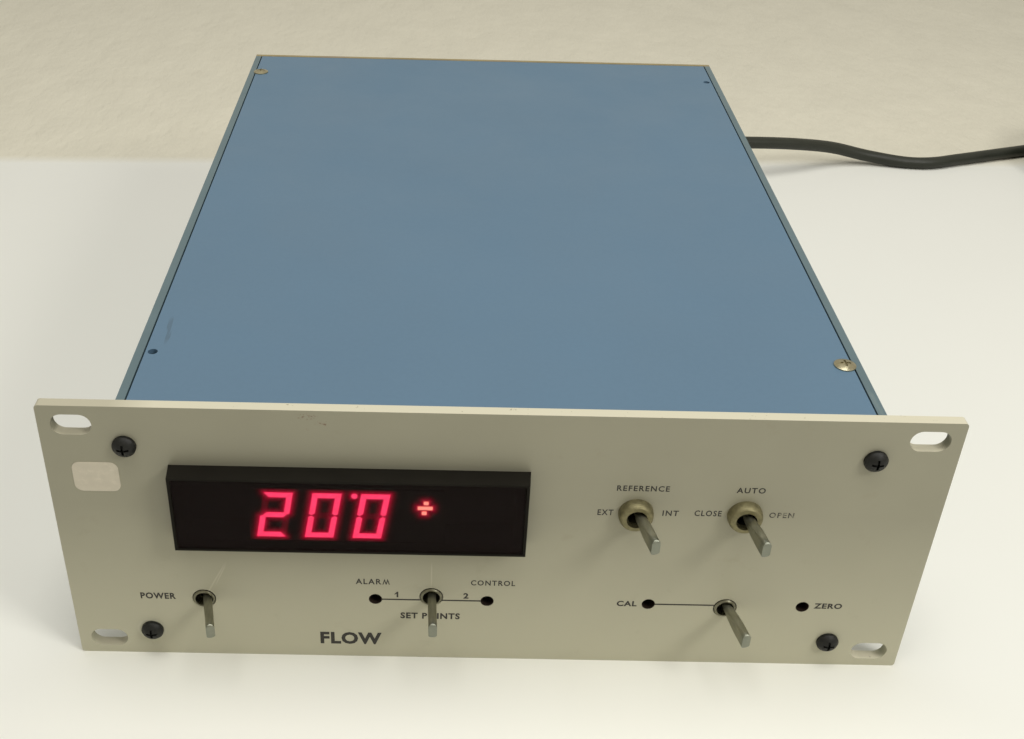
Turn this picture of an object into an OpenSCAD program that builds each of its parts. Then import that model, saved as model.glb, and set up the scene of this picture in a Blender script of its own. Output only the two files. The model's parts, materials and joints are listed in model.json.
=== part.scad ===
// Half-rack digital flow controller. The origin is the centre of the front panel's face.
// X runs to the right, Y to the back and Z up, in millimetres.

/* [Front panel] */
// Width of the half-rack panel
panel_w = 241.3; // [236:0.1:260]
// Height of the two-unit panel
panel_h = 88.9; // [84:0.1:100]
// Thickness of the panel plate
panel_t = 3.175; // [2:0.025:4]
// Radius of the panel's corners
panel_corner_r = 1; // [0.4:0.1:3]
// Length of a rack slot, end to end
slot_len = 10.7; // [9:0.1:13]
// Width of a rack slot
slot_w = 6.4; // [5:0.1:8]
// From the panel's side to a slot's centre
slot_side = 8.75; // [8:0.05:10]
// From the panel's top or bottom edge to a slot's centre
slot_edge = 5.95; // [5.5:0.05:8]

/* [Case] */
// Width of the case over its side rails
case_w = 201.7; // [196:0.1:206]
// Length of the case behind the front panel, rear panel included
case_len = 271; // [240:1:320]
// Thickness of a side rail's wall, which is the width of its painted top
rail_t = 2.3; // [2:0.1:3]
// Width of the ledge that carries a cover
ledge_w = 9; // [7:0.5:14]
// Thickness of that ledge
ledge_t = 2; // [1.5:0.1:3]
// Thickness of the cover sheets
cover_t = 1.5; // [1:0.1:2]
// Open seam between a cover and a side rail
seam = 0.5; // [0.2:0.05:0.8]
// Thickness of the rear panel
rear_t = 2; // [1.5:0.1:3]
// Open seam between a cover and the panels at its ends
end_seam = 0.2; // [0.1:0.05:0.5]

/* [Case screws] */
// From the rail's outer face to the axis of a screw port
port_inset = 2.05; // [1.9:0.05:3.5]
// From the rail's top to the axis of its upper screw port
port_drop = 11.25; // [8:0.05:14]
// From the rail's bottom to the axis of its lower screw port
port_rise = 8.55; // [8:0.05:14]
// Radius of the boss round a screw port
port_boss_r = 3.2; // [2.6:0.1:4]
// Radius of the panel screws' shanks
panel_screw_r = 1.5; // [1.2:0.05:1.6]
// Diameter of a panel screw's domed head
panel_head_d = 6.35; // [5:0.05:8]
// Height of a panel screw's head
panel_head_h = 2.7; // [1.6:0.1:3.4]
// Reach of a panel screw behind the panel
panel_screw_grip = 8; // [5:0.5:14]
// From a cover's side edge to its screws
cover_screw_inset = 2.05; // [1.9:0.05:5]
// From the front panel to the cover's front screws
cover_screw_front = 25.1; // [12:0.1:60]
// From the back of the case to the cover's rear screws
cover_screw_rear = 22.4; // [12:0.1:60]
// Radius of the cover screws' shanks
cover_screw_r = 1.3; // [1:0.05:1.5]
// Diameter of a cover screw's head
cover_head_d = 6.1; // [4.5:0.1:7]
// Diameter of a rear panel screw's narrow head
rear_head_d = 4.6; // [4:0.1:5]
// Height of a rear panel screw's head
rear_head_h = 1.8; // [1.2:0.1:2.4]
// Height of a cover screw's head, on which the case stands level with the panel's bottom edge
cover_head_h = 1.1; // [0.8:0.05:2]
// Reach of a cover screw below the cover
cover_screw_grip = 4; // [3:0.5:8]
// Clearance of a screw in its hole
screw_clear = 0.05; // [0.02:0.01:0.2]

/* [Display] */
// From the side rail's inner face to the display's sleeve
meter_side = 12.85; // [7:0.05:20]
// Centre of the display from the panel's centre, upwards
meter_z = 13.2; // [12:0.1:15]
// How far the bezel reaches over the panel on each side of the sleeve
bezel_lip = 2.35; // [1.5:0.05:3.5]
// How far the bezel reaches over the panel above and below the sleeve
bezel_lip_z = 1.9; // [1.5:0.05:3]
// How far the bezel stands out of the panel
bezel_out = 5.5; // [4.6:0.1:8]
// How much the bezel's sides draw in on their way to the front
bezel_draft = 0.4; // [0:0.1:0.8]
// Width of the sleeve behind the bezel
sleeve_w = 91.6; // [90:0.1:93]
// Height of the sleeve
sleeve_h = 21.8; // [21.2:0.1:23]
// Wall of the sleeve
sleeve_t = 1.5; // [1.2:0.1:1.8]
// Length of the sleeve behind the panel's face
sleeve_len = 66; // [50:1:90]
// Clearance of the sleeve in the panel's cut-out
sleeve_clear = 0.2; // [0.1:0.05:0.4]
// Thickness of the red filter
filter_t = 1; // [0.8:0.1:1.8]
// Depth of the filter's face behind the bezel's face
filter_recess = 0.3; // [0.2:0.1:0.6]
// Rim of the bezel beside the filter
filter_rim = 1.2; // [0.8:0.1:3]
// Rim of the bezel above and below the filter
filter_rim_z = 1; // [0.8:0.1:2.6]

/* [Digits] */
// Height of a digit
digit_h = 15.2; // [13:0.1:15.6]
// Width of a digit without its slant
digit_w = 7.7; // [6:0.1:9]
// Width of a lit segment
digit_stroke = 1.5; // [1:0.05:1.8]
// Slant of the digits in degrees
digit_slant = 10; // [0:1:12]
// From one digit to the next
digit_pitch = 12.95; // [12.8:0.05:14]
// Centre of the middle digit from the display's centre
digit_x = -7.2; // [-8:0.1:-6]
// Centre of the digits below the display's centre
digit_drop = 0.4; // [0.4:0.1:1.2]
// Gap between two segments
segment_gap = 0.2; // [0.1:0.05:0.5]
// How far a lit segment stands out of its module
segment_out = 0.2; // [0.1:0.05:0.4]
// Height of a digit module
module_h = 16.4; // [16:0.1:16.6]
// Depth of a digit module
module_d = 8; // [6:0.5:10]
// Gap between the filter and the digit modules
module_gap = 0.4; // [0.3:0.1:1.2]

/* [Switches] */
// Power switch, to the right of the panel's centre
power_x = -82.7; // [-86:0.1:-80]
// Set-point switch, to the right of the panel's centre
setpoint_x = -17.65; // [-20:0.05:-15]
// Reference switch, to the right of the panel's centre
reference_x = 37.5; // [35:0.1:40]
// Valve switch, to the right of the panel's centre
valve_x = 67.2; // [65:0.1:69]
// Calibration switch, to the right of the panel's centre
cal_x = 66.9; // [65:0.1:69]
// Height of the lower single-pole switches from the panel's centre
lower_row_z = -22.2; // [-24:0.1:-18]
// Height of the upper row from the panel's centre
upper_row_z = 12.6; // [10:0.1:15]
// Radius of a switch bushing
bushing_r = 3.175; // [3:0.025:3.3]
// Length of a switch bushing in front of its case
bushing_len = 8.9; // [8:0.1:10]
// How far the board's switches stand out of the panel
low_out = 0.5; // [0:0.1:1]
// How far the panel's own switches stand out of it
high_out = 1.5; // [1.2:0.1:2]
// Bevel round a bushing's mouth
bushing_bevel = 0.35; // [0.1:0.05:0.5]
// Clearance of a bushing in the panel
bushing_clear = 0.22; // [0.1:0.02:0.4]
// Radius of the bushing's flared mouth
mouth_r = 2.5; // [2.4:0.05:2.6]
// Radius of the lever's ball
ball_r = 2; // [1.9:0.05:2.1]
// Running clearance round the ball
ball_clear = 0.05; // [0.03:0.01:0.08]
// Depth of the pivot behind the bushing's mouth
pivot_depth = 4.5; // [4.2:0.1:4.8]
// Reach of a lever from its pivot
lever_len = 17.7; // [15:0.1:20]
// Radius of the lever at its root
lever_root_r = 1.1; // [1:0.05:1.15]
// Half the width of the lever's flat end
lever_tip_r = 2.6; // [2:0.05:3]
// Thickness of the lever between its two flats
lever_flat = 2.4; // [2.2:0.05:2.4]
// Rounding of the lever's end
lever_round = 0.8; // [0.5:0.1:2]
// Lean of the power switch's lever to the right, in degrees
power_tilt = 13; // [0:0.5:13.5]
// Lean of the set-point switch's lever, held near its middle by springs
setpoint_tilt = 2; // [0:0.5:3]
// Lean of the reference switch's lever
reference_tilt = 11.5; // [0:0.5:13.5]
// Lean of the valve switch's lever
valve_tilt = 9.5; // [0:0.5:13.5]
// Lean of the calibration switch's lever
cal_tilt = 11.5; // [0:0.5:13.5]
// Length of a switch case along the lever's throw
switch_w = 12.7; // [12:0.1:14]
// Height of a single-pole switch case
single_h = 7; // [6.6:0.1:7.4]
// Height of a double-pole switch case
double_h = 11.4; // [10:0.1:13]
// Depth of a switch case
switch_d = 9; // [8:0.5:11]
// Thickness of the steel frame on a switch case
switch_frame_t = 0.8; // [0.5:0.1:1.2]
// Radius of a dress nut at the panel
dress_r = 4.8; // [4.5:0.1:5.5]
// Radius of a dress nut's front rim
dress_rim_r = 3.7; // [3.4:0.1:4.2]
// How far a dress nut stands out of the panel
dress_out = 3.1; // [2.6:0.1:3.3]
// Radius of a dress nut's opening
dress_mouth_r = 2.85; // [2.8:0.05:3]
// Width of a lock nut across its flats
lock_nut_af = 8; // [7.5:0.1:9]
// Thickness of a lock nut
lock_nut_t = 1.8; // [1.4:0.1:2.4]

/* [Trimmers] */
// From the set-point switch to the trimmers on each side of it
set_pitch = 16; // [14:0.1:18]
// Height of the trimmers' screws from the panel's centre
trim_row_z = -21.25; // [-23:0.05:-19]
// From the calibration switch to the trimmers on each side of it
cal_pitch = 22.2; // [21:0.1:23]
// Diameter of a trimmer hole in the panel
trim_hole_d = 3.8; // [2.8:0.1:3.9]
// Width of a trimmer
trim_w = 4.8; // [4:0.1:6]
// Height of a trimmer
trim_h = 6.35; // [5:0.05:7]
// Length of a trimmer
trim_len = 19; // [15:0.5:22]
// Depth of a trimmer's face behind the panel
trim_back = 2.8; // [2:0.1:5]
// Height of a trimmer's feet
trim_stand = 0.6; // [0.3:0.1:1]
// Radius of the adjusting screw
trim_screw_r = 1.1; // [0.9:0.05:1.2]
// Running clearance of the adjusting screw
trim_clear = 0.06; // [0.03:0.01:0.08]
// Length of the adjusting screw outside the trimmer
trim_screw_out = 1.5; // [1:0.1:1.9]
// Length of the adjusting screw inside the trimmer
trim_screw_in = 2.2; // [1.5:0.1:4]

/* [Main board] */
// Thickness of the circuit boards
board_t = 1.6; // [1.2:0.1:2]
// Gap between the front panel and the board's front edge
board_front = 2.3; // [1:0.1:5]
// Gap between the board's back edge and the rear panel
board_rear = 16.7; // [12:0.1:30]
// Gap between the board's edge and the rail's wall
board_side_gap = 0.4; // [0.2:0.1:1]
// Depth of the board grooves in the rails
groove_depth = 3; // [2:0.1:5]
// Thickness of the ribs that make the grooves
groove_rib = 1.2; // [0.8:0.1:2]
// Clearance of the board under the upper rib
groove_clear = 0.2; // [0.1:0.05:0.4]

/* [Power supply] */
// Transformer's centre from the case's centre
transformer_x = -55; // [-65:1:-45]
// Transformer's centre from the board's back edge
transformer_back = 40.5; // [32:0.5:60]
// Width of the laminated core
core_w = 48; // [44:1:54]
// Height of the laminated core
core_h = 40; // [36:1:46]
// Thickness of the stack of laminations
core_d = 20; // [16:1:26]
// Thickness of the winding round the core's middle leg
winding_t = 7; // [5:0.5:7.5]
// Thickness of the clamping frame's strip
frame_t = 1; // [0.8:0.1:1.5]
// Radius of the large filter capacitor
big_cap_r = 9; // [7:0.5:11]
// Height of the large filter capacitor
big_cap_h = 32; // [25:1:40]
// Large filter capacitor's centre from the board's back edge
big_cap_back = 33.5; // [20:0.5:60]
// Radius of the small filter capacitors
small_cap_r = 6.3; // [5:0.1:7]
// Height of the small filter capacitors
small_cap_h = 25; // [15:1:35]
// From the large filter capacitor to the small ones, to the right
small_cap_side = 24; // [18:0.5:28]
// From one small filter capacitor to the other
small_cap_pitch = 18; // [15:0.5:24]
// Voltage regulators, from the board's back edge
regulator_back = 50.5; // [40:0.5:70]
// First voltage regulator, to the right of the case's centre
regulator_x = 46; // [40:0.5:50]
// From one voltage regulator to the other
regulator_pitch = 18; // [14:0.5:24]
// From the transformer's centre to the front of the relays
relay_front = 55; // [50:0.5:70]
// Side of a relay along X
relay_w = 19; // [15:0.5:22]
// Side of a relay along Y, and its height
relay_d = 15; // [12:0.5:18]
// From one relay to the other
relay_pitch = 24; // [23:0.5:30]

/* [Chips] */
// Rows of chips, from the board's back edge
chip_rows = [105.5, 145.5, 180.5];
// From one chip to the next in a row
chip_pitch = 30; // [12:0.5:32]
// Leftmost chip, from the case's centre
chip_x = -12; // [-14:0.5:0]
// Pins of the chips in each row
chip_pins = [16, 14, 8];
// From pin to pin
pin_pitch = 2.54; // [2:0.01:2.54]
// Width of a chip's body
chip_w = 6.4; // [5:0.1:7]
// Height of a chip above its board
chip_h = 4; // [3:0.1:5]

/* [Rear panel] */
// Cord's exit, to the right of the case's centre
cord_x = 85; // [80:0.5:86]
// Cord's exit above the surface that the controller stands on
cord_up = 27; // [26:0.5:32]
// Radius of the strain relief's head
relief_head_r = 9; // [8:0.5:9.5]
// Length of the strain relief behind the rear panel
relief_len = 24; // [20:0.5:25]
// Fuse holder, to the right of the case's centre
fuse_x = 58; // [50:0.5:62]
// Radius of the fuse holder's body
fuse_body_r = 6.3; // [6:0.1:7.5]
// Gap between the board and the fuse holder's body
fuse_lift = 0.3; // [0.2:0.1:3]
// Radius of the fuse cap
fuse_cap_r = 6.8; // [6.4:0.1:8]
// Length of the fuse cap
fuse_cap_len = 11; // [8:0.5:14]
// Running clearance of the fuse cap's stem
fuse_clear = 0.06; // [0.03:0.01:0.09]
// Signal connector, to the right of the case's centre
signal_x = 48; // [40:0.5:55]
// Signal connector, above the case's centre
signal_z = 16; // [12:0.5:25]
// Terminal strip, to the right of the case's centre
strip_x = -40; // [-50:0.5:-35]
// Terminal strip, above the case's centre
strip_z = 2; // [-8:0.5:15]
// From one terminal to the next
strip_pitch = 9.5; // [8.5:0.1:11]
// Number of terminals
strip_count = 8; // [4:1:10]

/* [Mains lead] */
// Diameter of the mains cord
cord_d = 6.3; // [5.8:0.1:6.4]
// Radius of the coil at the middle of its turns
coil_r = 33.5; // [31.5:0.5:35]
// Radial thickness of the coil
coil_w = 16; // [15:0.5:17]
// Height of one layer of the coil
coil_layer = 6.4; // [6.4:0.1:6.8]
// Layers of the coil
coil_layers = 4; // [4:1:4]
// Length of the plug's body
plug_len = 24; // [20:1:30]
// Length of the plug's tapered tail
plug_tail = 20; // [15:1:24]
// Width of the plug's body
plug_w = 27; // [24:1:30]
// Height of the plug's body
plug_h = 22; // [22:1:22]

/* [Hidden] */
$fn = 48;
floor_z = -panel_h / 2;
case_h = panel_h - 2 * cover_head_h;
case_back = panel_t + case_len;
rail_len = case_len - rear_t;
rail_in = case_w / 2 - rail_t;
meter_x = meter_side - rail_in + sleeve_w / 2;
bezel_w = sleeve_w + 2 * bezel_lip;
bezel_h = sleeve_h + 2 * bezel_lip_z;
cover_half = rail_in - seam;
port_x = case_w / 2 - port_inset;
port_top_z = case_h / 2 - port_drop;
port_low_z = port_rise - case_h / 2;
cover_screw_x = cover_half - cover_screw_inset;
cover_screw_y = [panel_t + cover_screw_front, case_back - cover_screw_rear];
board_top = lower_row_z - single_h / 2;
board_y = panel_t + board_front;
board_back = case_back - rear_t - board_rear;
board_len = board_back - board_y;
double_row_z = board_top + double_h / 2;
slot_x = panel_w / 2 - slot_side;
slot_z = panel_h / 2 - slot_edge;
cord_r = cord_d / 2;
cord_z = floor_z + cord_up;
transformer_y = board_back - transformer_back;
fuse_z = board_top + fuse_lift + fuse_body_r;
alarm_x = setpoint_x - set_pitch;
control_x = setpoint_x + set_pitch;
cal_trim_x = cal_x - cal_pitch;
zero_x = cal_x + cal_pitch;
filter_back = filter_recess + filter_t - bezel_out;
module_face = filter_back + module_gap;
display_board_y = module_face + module_d;
slack = 0.01;

// The switches: [x, z, height of the case, how far the bushing stands out, lean of the lever]
POWER = [power_x, lower_row_z, single_h, low_out, power_tilt];
SETPOINT = [setpoint_x, double_row_z, double_h, low_out, setpoint_tilt];
REFERENCE = [reference_x, upper_row_z, double_h, high_out, reference_tilt];
VALVE = [valve_x, upper_row_z, double_h, high_out, valve_tilt];
CAL = [cal_x, lower_row_z, single_h, low_out, cal_tilt];
SWITCHES = [POWER, SETPOINT, REFERENCE, VALVE, CAL];
TRIMMERS_X = [alarm_x, control_x, cal_trim_x, zero_x];

// Segments of a digit, each [centre x, centre z, 0 level or 1 upright], for a digit of unit size
SEGMENT_TOP = [0, 1, 0];
SEGMENT_MIDDLE = [0, 0, 0];
SEGMENT_BOTTOM = [0, -1, 0];
SEGMENT_UP_LEFT = [-1, 0.5, 1];
SEGMENT_UP_RIGHT = [1, 0.5, 1];
SEGMENT_LOW_LEFT = [-1, -0.5, 1];
SEGMENT_LOW_RIGHT = [1, -0.5, 1];
TWO = [SEGMENT_TOP, SEGMENT_UP_RIGHT, SEGMENT_MIDDLE, SEGMENT_LOW_LEFT, SEGMENT_BOTTOM];
ZERO = [SEGMENT_TOP, SEGMENT_UP_LEFT, SEGMENT_UP_RIGHT, SEGMENT_LOW_LEFT, SEGMENT_LOW_RIGHT, SEGMENT_BOTTOM];
READING = [TWO, ZERO, ZERO];

// Route of the cord's centreline: [x, y, height above the surface]
CORD_ROUTE = [
    [85, 306, 27], [87, 318, 26], [93, 328, 25], [102, 336, 24], [112, 340, 23], [128, 345, 21.5],
    [146, 350, 20], [171, 358, 16.5], [195, 367.5, 11], [216, 370.5, 5.5], [236, 368, 3.2],
    [251, 367.5, 3.2], [268, 373, 3.2], [291, 381, 3.2], [311, 388, 3.2], [327, 393.8, 3.2]
];
// Last stretch of the cord, from the coil's top layer up to the plug
CORD_TAIL = [
    [349, 399.3, 22.4], [362.5, 396.8, 24], [371.3, 391, 27.5], [377.6, 382.2, 32], [379.3, 373, 35.2],
    [377.9, 363.8, 36.6], [375.9, 358, 36.6]
];
COIL_CENTRE = [349, 361];
tail_end = CORD_TAIL[len(CORD_TAIL) - 1];
tail_before = CORD_TAIL[len(CORD_TAIL) - 2];
plug_turn = atan2(tail_end[1] - tail_before[1], tail_end[0] - tail_before[0]);

// A flat outline in X and Z, drawn in the plane and made a plate from y to y + t
module plate(y, t) {
    translate([0, y + t, 0]) rotate([90, 0, 0]) linear_extrude(t) children();
}

// A turned piece whose axis runs to the back from [x, y, z]
module turned(x, y, z) {
    translate([x, y, z]) rotate([-90, 0, 0]) children();
}

module round_rect(w, h, r) {
    square([w - 2 * r, h], center = true);
    square([w, h - 2 * r], center = true);
    for (sx = [-1, 1], sz = [-1, 1])
        translate([sx * (w / 2 - r), sz * (h / 2 - r)]) circle(r);
}

module obround(length, width) {
    square([length - width, width], center = true);
    for (s = [-1, 1])
        translate([s * (length - width) / 2, 0]) circle(width / 2);
}

// Cross recess of a screw head, cut down from its top
module cross_recess(size, depth) {
    arm = size / 5;
    for (turn = [0, 90])
        rotate(turn) translate([-size / 2, -arm / 2, -depth]) cube([size, arm, depth + 1]);
}

// A screw that stands on its shank: head on top of z = 0, shank below
module domed_screw(head_d, head_h, shank_r, shank_len) {
    difference() {
        union() {
            intersection() {
                cylinder(h = head_h, r = head_d / 2);
                // The dome's sphere meets the head's wall a third of the way up
                rise = head_h * 2 / 3;
                dome_r = (pow(head_d / 2, 2) + rise * rise) / (2 * rise);
                translate([0, 0, head_h - dome_r]) sphere(dome_r, $fn = 96);
            }
            translate([0, 0, -shank_len]) cylinder(h = shank_len + slack, r = shank_r);
        }
        translate([0, 0, head_h]) cross_recess(head_d / 2, head_h * 0.45);
    }
}

module corners(x, top_z, low_z) {
    for (s = [-1, 1], z = [low_z, top_z])
        translate([s * x, z]) children();
}

module front_panel() {
    color([0.60, 0.58, 0.48]) plate(0, panel_t) difference() {
        round_rect(panel_w, panel_h, panel_corner_r);
        corners(slot_x, slot_z, -slot_z) obround(slot_len, slot_w);
        corners(port_x, port_top_z, port_low_z) circle(panel_screw_r + 4 * screw_clear);
        translate([meter_x, meter_z])
            square([sleeve_w + 2 * sleeve_clear, sleeve_h + 2 * sleeve_clear], center = true);
        for (s = SWITCHES)
            translate([s[0], s[1]]) circle(bushing_r + bushing_clear);
        for (x = TRIMMERS_X)
            translate([x, trim_row_z]) circle(trim_hole_d / 2);
    }
}

module panel_screws() {
    color([0.05, 0.05, 0.05]) for (s = [-1, 1], z = [port_low_z, port_top_z])
        translate([s * port_x, 0, z]) rotate([90, 0, 0])
            domed_screw(panel_head_d, panel_head_h, panel_screw_r, panel_t + panel_screw_grip);
}

// Section of the right rail: wall, two cover ledges, two screw ports and the board's groove
module rail_section() {
    difference() {
        union() {
            translate([rail_in, -case_h / 2]) square([rail_t, case_h]);
            for (s = [0, 1]) mirror([0, s])
                translate([rail_in - ledge_w, case_h / 2 - cover_t - ledge_t])
                    square([ledge_w + slack, ledge_t]);
            intersection() {
                for (z = [port_low_z, port_top_z]) translate([port_x, z]) circle(port_boss_r);
                translate([rail_in - 2 * port_boss_r, -case_h / 2])
                    square([rail_t + 2 * port_boss_r, case_h]);
            }
            for (z = [board_top - board_t - groove_rib, board_top + groove_clear])
                translate([rail_in - groove_depth, z]) square([groove_depth + slack, groove_rib]);
        }
        for (z = [port_low_z, port_top_z]) translate([port_x, z]) circle(panel_screw_r + screw_clear);
    }
}

// The right rail with its four tapped holes for the cover screws
module side_rail() {
    hole = 2 * (cover_t + ledge_t) + 1;
    difference() {
        plate(panel_t, rail_len) rail_section();
        for (y = cover_screw_y, s = [-1, 1])
            translate([cover_screw_x, y, s * case_h / 2])
                cylinder(h = hole, r = cover_screw_r + screw_clear, center = true);
    }
}

module left_side_rail() {
    color([0.33, 0.42, 0.44]) mirror([1, 0, 0]) side_rail();
}

module right_side_rail() {
    color([0.33, 0.42, 0.44]) side_rail();
}

// A cover sheet, lower face at z
module cover(z) {
    y0 = panel_t + end_seam;
    y1 = case_back - rear_t - end_seam;
    difference() {
        translate([-cover_half, y0, z]) cube([2 * cover_half, y1 - y0, cover_t]);
        for (s = [-1, 1], y = cover_screw_y)
            translate([s * cover_screw_x, y, z - 1]) cylinder(h = cover_t + 2, r = cover_screw_r + screw_clear);
    }
}

module top_cover() {
    color([0.36, 0.47, 0.55]) cover(case_h / 2 - cover_t);
}

module bottom_cover() {
    color([0.36, 0.47, 0.55]) cover(-case_h / 2);
}

module cover_screw() {
    domed_screw(cover_head_d, cover_head_h, cover_screw_r, cover_t + cover_screw_grip);
}

// Only the front right and rear left screws are there
module top_cover_screws() {
    color([0.62, 0.58, 0.47]) {
        translate([cover_screw_x, cover_screw_y[0], case_h / 2]) cover_screw();
        translate([-cover_screw_x, cover_screw_y[1], case_h / 2]) cover_screw();
    }
}

module bottom_cover_screws() {
    color([0.62, 0.58, 0.47]) for (s = [-1, 1], y = cover_screw_y)
        translate([s * cover_screw_x, y, -case_h / 2]) mirror([0, 0, 1]) cover_screw();
}

module rear_panel() {
    color([0.66, 0.58, 0.38]) plate(case_back - rear_t, rear_t) difference() {
        square([case_w, case_h], center = true);
        corners(port_x, port_top_z, port_low_z) circle(panel_screw_r + screw_clear);
        translate([cord_x, cord_z]) circle(relief_neck_r + screw_clear);
        translate([fuse_x, fuse_z]) circle(fuse_body_r + screw_clear);
        translate([signal_x, signal_z]) round_rect(signal_body_w + 0.6, signal_body_h + 0.6, 2);
    }
}

module rear_panel_screws() {
    color([0.62, 0.58, 0.47]) for (s = [-1, 1], z = [port_low_z, port_top_z])
        translate([s * port_x, case_back, z]) rotate([-90, 0, 0])
            domed_screw(rear_head_d, rear_head_h, panel_screw_r, rear_t + panel_screw_grip);
}

// Outline of the bezel seen along one of its sides, narrower at the front
module drafted_side(width) {
    polygon([
        [-width / 2, 0],
        [bezel_draft - width / 2, -bezel_out],
        [width / 2 - bezel_draft, -bezel_out],
        [width / 2, 0]
    ]);
}

// Bezel and sleeve are one moulding, open at the back
module meter_case() {
    window_w = bezel_w - 2 * filter_rim;
    window_h = bezel_h - 2 * filter_rim_z;
    color([0.06, 0.06, 0.06]) translate([meter_x, 0, meter_z]) difference() {
        union() {
            intersection() {
                linear_extrude(bezel_h, center = true) drafted_side(bezel_w);
                rotate([0, 90, 0]) linear_extrude(bezel_w, center = true) drafted_side(bezel_h);
            }
            plate(-slack, sleeve_len) square([sleeve_w, sleeve_h], center = true);
        }
        plate(-bezel_out - 1, filter_recess + filter_t + 1)
            square([window_w, window_h], center = true);
        plate(-bezel_out - 1, sleeve_len + bezel_out + 2)
            square([sleeve_w - 2 * sleeve_t, sleeve_h - 2 * sleeve_t], center = true);
    }
}

module meter_filter() {
    clear = 0.1;
    color([0.20, 0.02, 0.02]) translate([meter_x, 0, meter_z])
        plate(filter_back - filter_t, filter_t - slack)
            square([bezel_w - 2 * filter_rim - 2 * clear, bezel_h - 2 * filter_rim_z - 2 * clear], center = true);
}

// Spring strips beside the sleeve, with a foot against the panel's back
module meter_clips() {
    clip_h = 10;
    clip_t = 0.8;
    clip_len = 24;
    foot = 5;
    color([0.7, 0.7, 0.7]) for (s = [-1, 1])
        translate([meter_x + s * (sleeve_w / 2 + clip_t / 2), panel_t, meter_z - clip_h / 2]) {
            translate([-clip_t / 2, 0, 0]) cube([clip_t, clip_len, clip_h]);
            translate([s > 0 ? 0 : -foot, 0, 0]) cube([foot, clip_t, clip_h]);
        }
}

module meter_display_board() {
    color([0.12, 0.32, 0.2]) translate([meter_x, 0, meter_z]) plate(display_board_y, board_t)
        square([sleeve_w - 2 * sleeve_t, sleeve_h - 2 * sleeve_t], center = true);
}

// The converter board lies level behind the display board and sticks out of the sleeve
module meter_converter_board() {
    edge_out = 8;
    chip = [30, 14, 4];
    y0 = display_board_y + board_t;
    board_w = sleeve_w - 2 * sleeve_t - 1;
    color([0.12, 0.32, 0.2]) translate([meter_x, y0, meter_z]) {
        translate([-board_w / 2, 0, -board_t / 2]) cube([board_w, sleeve_len - y0 + edge_out, board_t]);
        translate([-chip[0] / 2, 18, board_t / 2 - slack]) cube(chip);
    }
}

module digit_modules() {
    color([0.10, 0.08, 0.08]) for (i = [-1:1])
        translate([meter_x + digit_x + i * digit_pitch, 0, meter_z - digit_drop])
            plate(module_face, module_d) square([digit_pitch - 0.1, module_h], center = true);
}

sign_x = digit_x + 2 * digit_pitch;
module sign_module() {
    color([0.10, 0.08, 0.08]) translate([meter_x + sign_x, 0, meter_z - digit_drop])
        plate(module_face, module_d) square([digit_pitch - 0.1, module_h], center = true);
}

function slanted(p) = [p[0] + p[1] * tan(digit_slant), p[1]];

// A segment, [across, up, upright], as slanted points: mitred on its outer side at the digit's
// corners and pointed where it meets the middle, with a gap to its neighbours
function segment(s) =
    let (
        w = digit_w / 2,
        h = digit_h / 2,
        t = digit_stroke,
        g = segment_gap / 2,
        points = s[2] == 1
            ? [
                [w, h - g], [w, g * 2 + t / 4], [w - t / 2, g * 2],
                [w - t, t / 2 + g], [w - t, h - t - g]
            ]
            : s[1] == 0
                ? [[t / 2 - w + g, 0], [t - w + g, t / 2], [w - t - g, t / 2], [w - t / 2 - g, 0],
                   [w - t - g, -t / 2], [t - w + g, -t / 2]]
                : [[g - w, h], [w - g, h], [w - t - g, h - t], [t + g - w, h - t]],
        flip_x = s[2] == 1 && s[0] < 0 ? -1 : 1,
        flip_z = s[1] < 0 ? -1 : 1
    )
    [for (p = points) slanted([flip_x * p[0], flip_z * p[1]])];

// The lit segments, the decimal point and the plus sign
module lit_segments() {
    dot_r = 0.8;
    dot_at = [-4.4, 6.9];
    sign_at = [1.5, 3.2];
    sign_arm = 1.7;
    color([1, 0.15, 0.25]) translate([meter_x, 0, meter_z - digit_drop])
        plate(module_face - segment_out, segment_out) {
            for (i = [0:2])
                translate([digit_x + (i - 1) * digit_pitch, 0]) for (s = READING[i]) polygon(segment(s));
            translate([digit_x + digit_pitch, 0]) translate(dot_at) circle(dot_r);
            translate([sign_x, 0]) translate(sign_at) {
                square([4, 1.1], center = true);
                for (s = [-1, 1]) translate([s * 0.25, s * sign_arm]) square([1.3, 1.1], center = true);
            }
        }
}

module main_board() {
    half = rail_in - board_side_gap;
    color([0.15, 0.35, 0.2]) translate([-half, board_y, board_top - board_t])
        cube([2 * half, board_len, board_t]);
}

// Threaded bushing and steel frame of a switch, bored for the lever's ball
module switch_bushing(s) {
    lip_r = ball_r - 0.24;
    lip_at = sqrt(pow(ball_r + ball_clear, 2) - lip_r * lip_r);
    lip_len = 0.85;
    rear_r = ball_r + 0.6;
    color([0.72, 0.70, 0.66]) difference() {
        union() {
            turned(s[0], -s[3], s[1]) {
                cylinder(h = bushing_bevel, r1 = bushing_r - bushing_bevel, r2 = bushing_r);
                translate([0, 0, bushing_bevel - slack])
                    cylinder(h = bushing_len - bushing_bevel + 2 * slack, r = bushing_r);
            }
            translate([s[0], 0, s[1]]) plate(bushing_len - s[3], switch_frame_t)
                square([switch_w, s[2]], center = true);
        }
        turned(s[0], -s[3], s[1]) {
            translate([0, 0, -slack])
                cylinder(h = pivot_depth - lip_at - lip_len + slack, r1 = mouth_r, r2 = lip_r);
            translate([0, 0, pivot_depth - lip_at - lip_len - slack])
                cylinder(h = lip_len + 2 * slack, r = lip_r);
            translate([0, 0, pivot_depth - lip_at]) cylinder(h = lip_at + ball_r, r = ball_r + ball_clear);
            translate([0, 0, pivot_depth + ball_r - slack])
                cylinder(h = bushing_len, r = rear_r);
        }
    }
}

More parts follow.
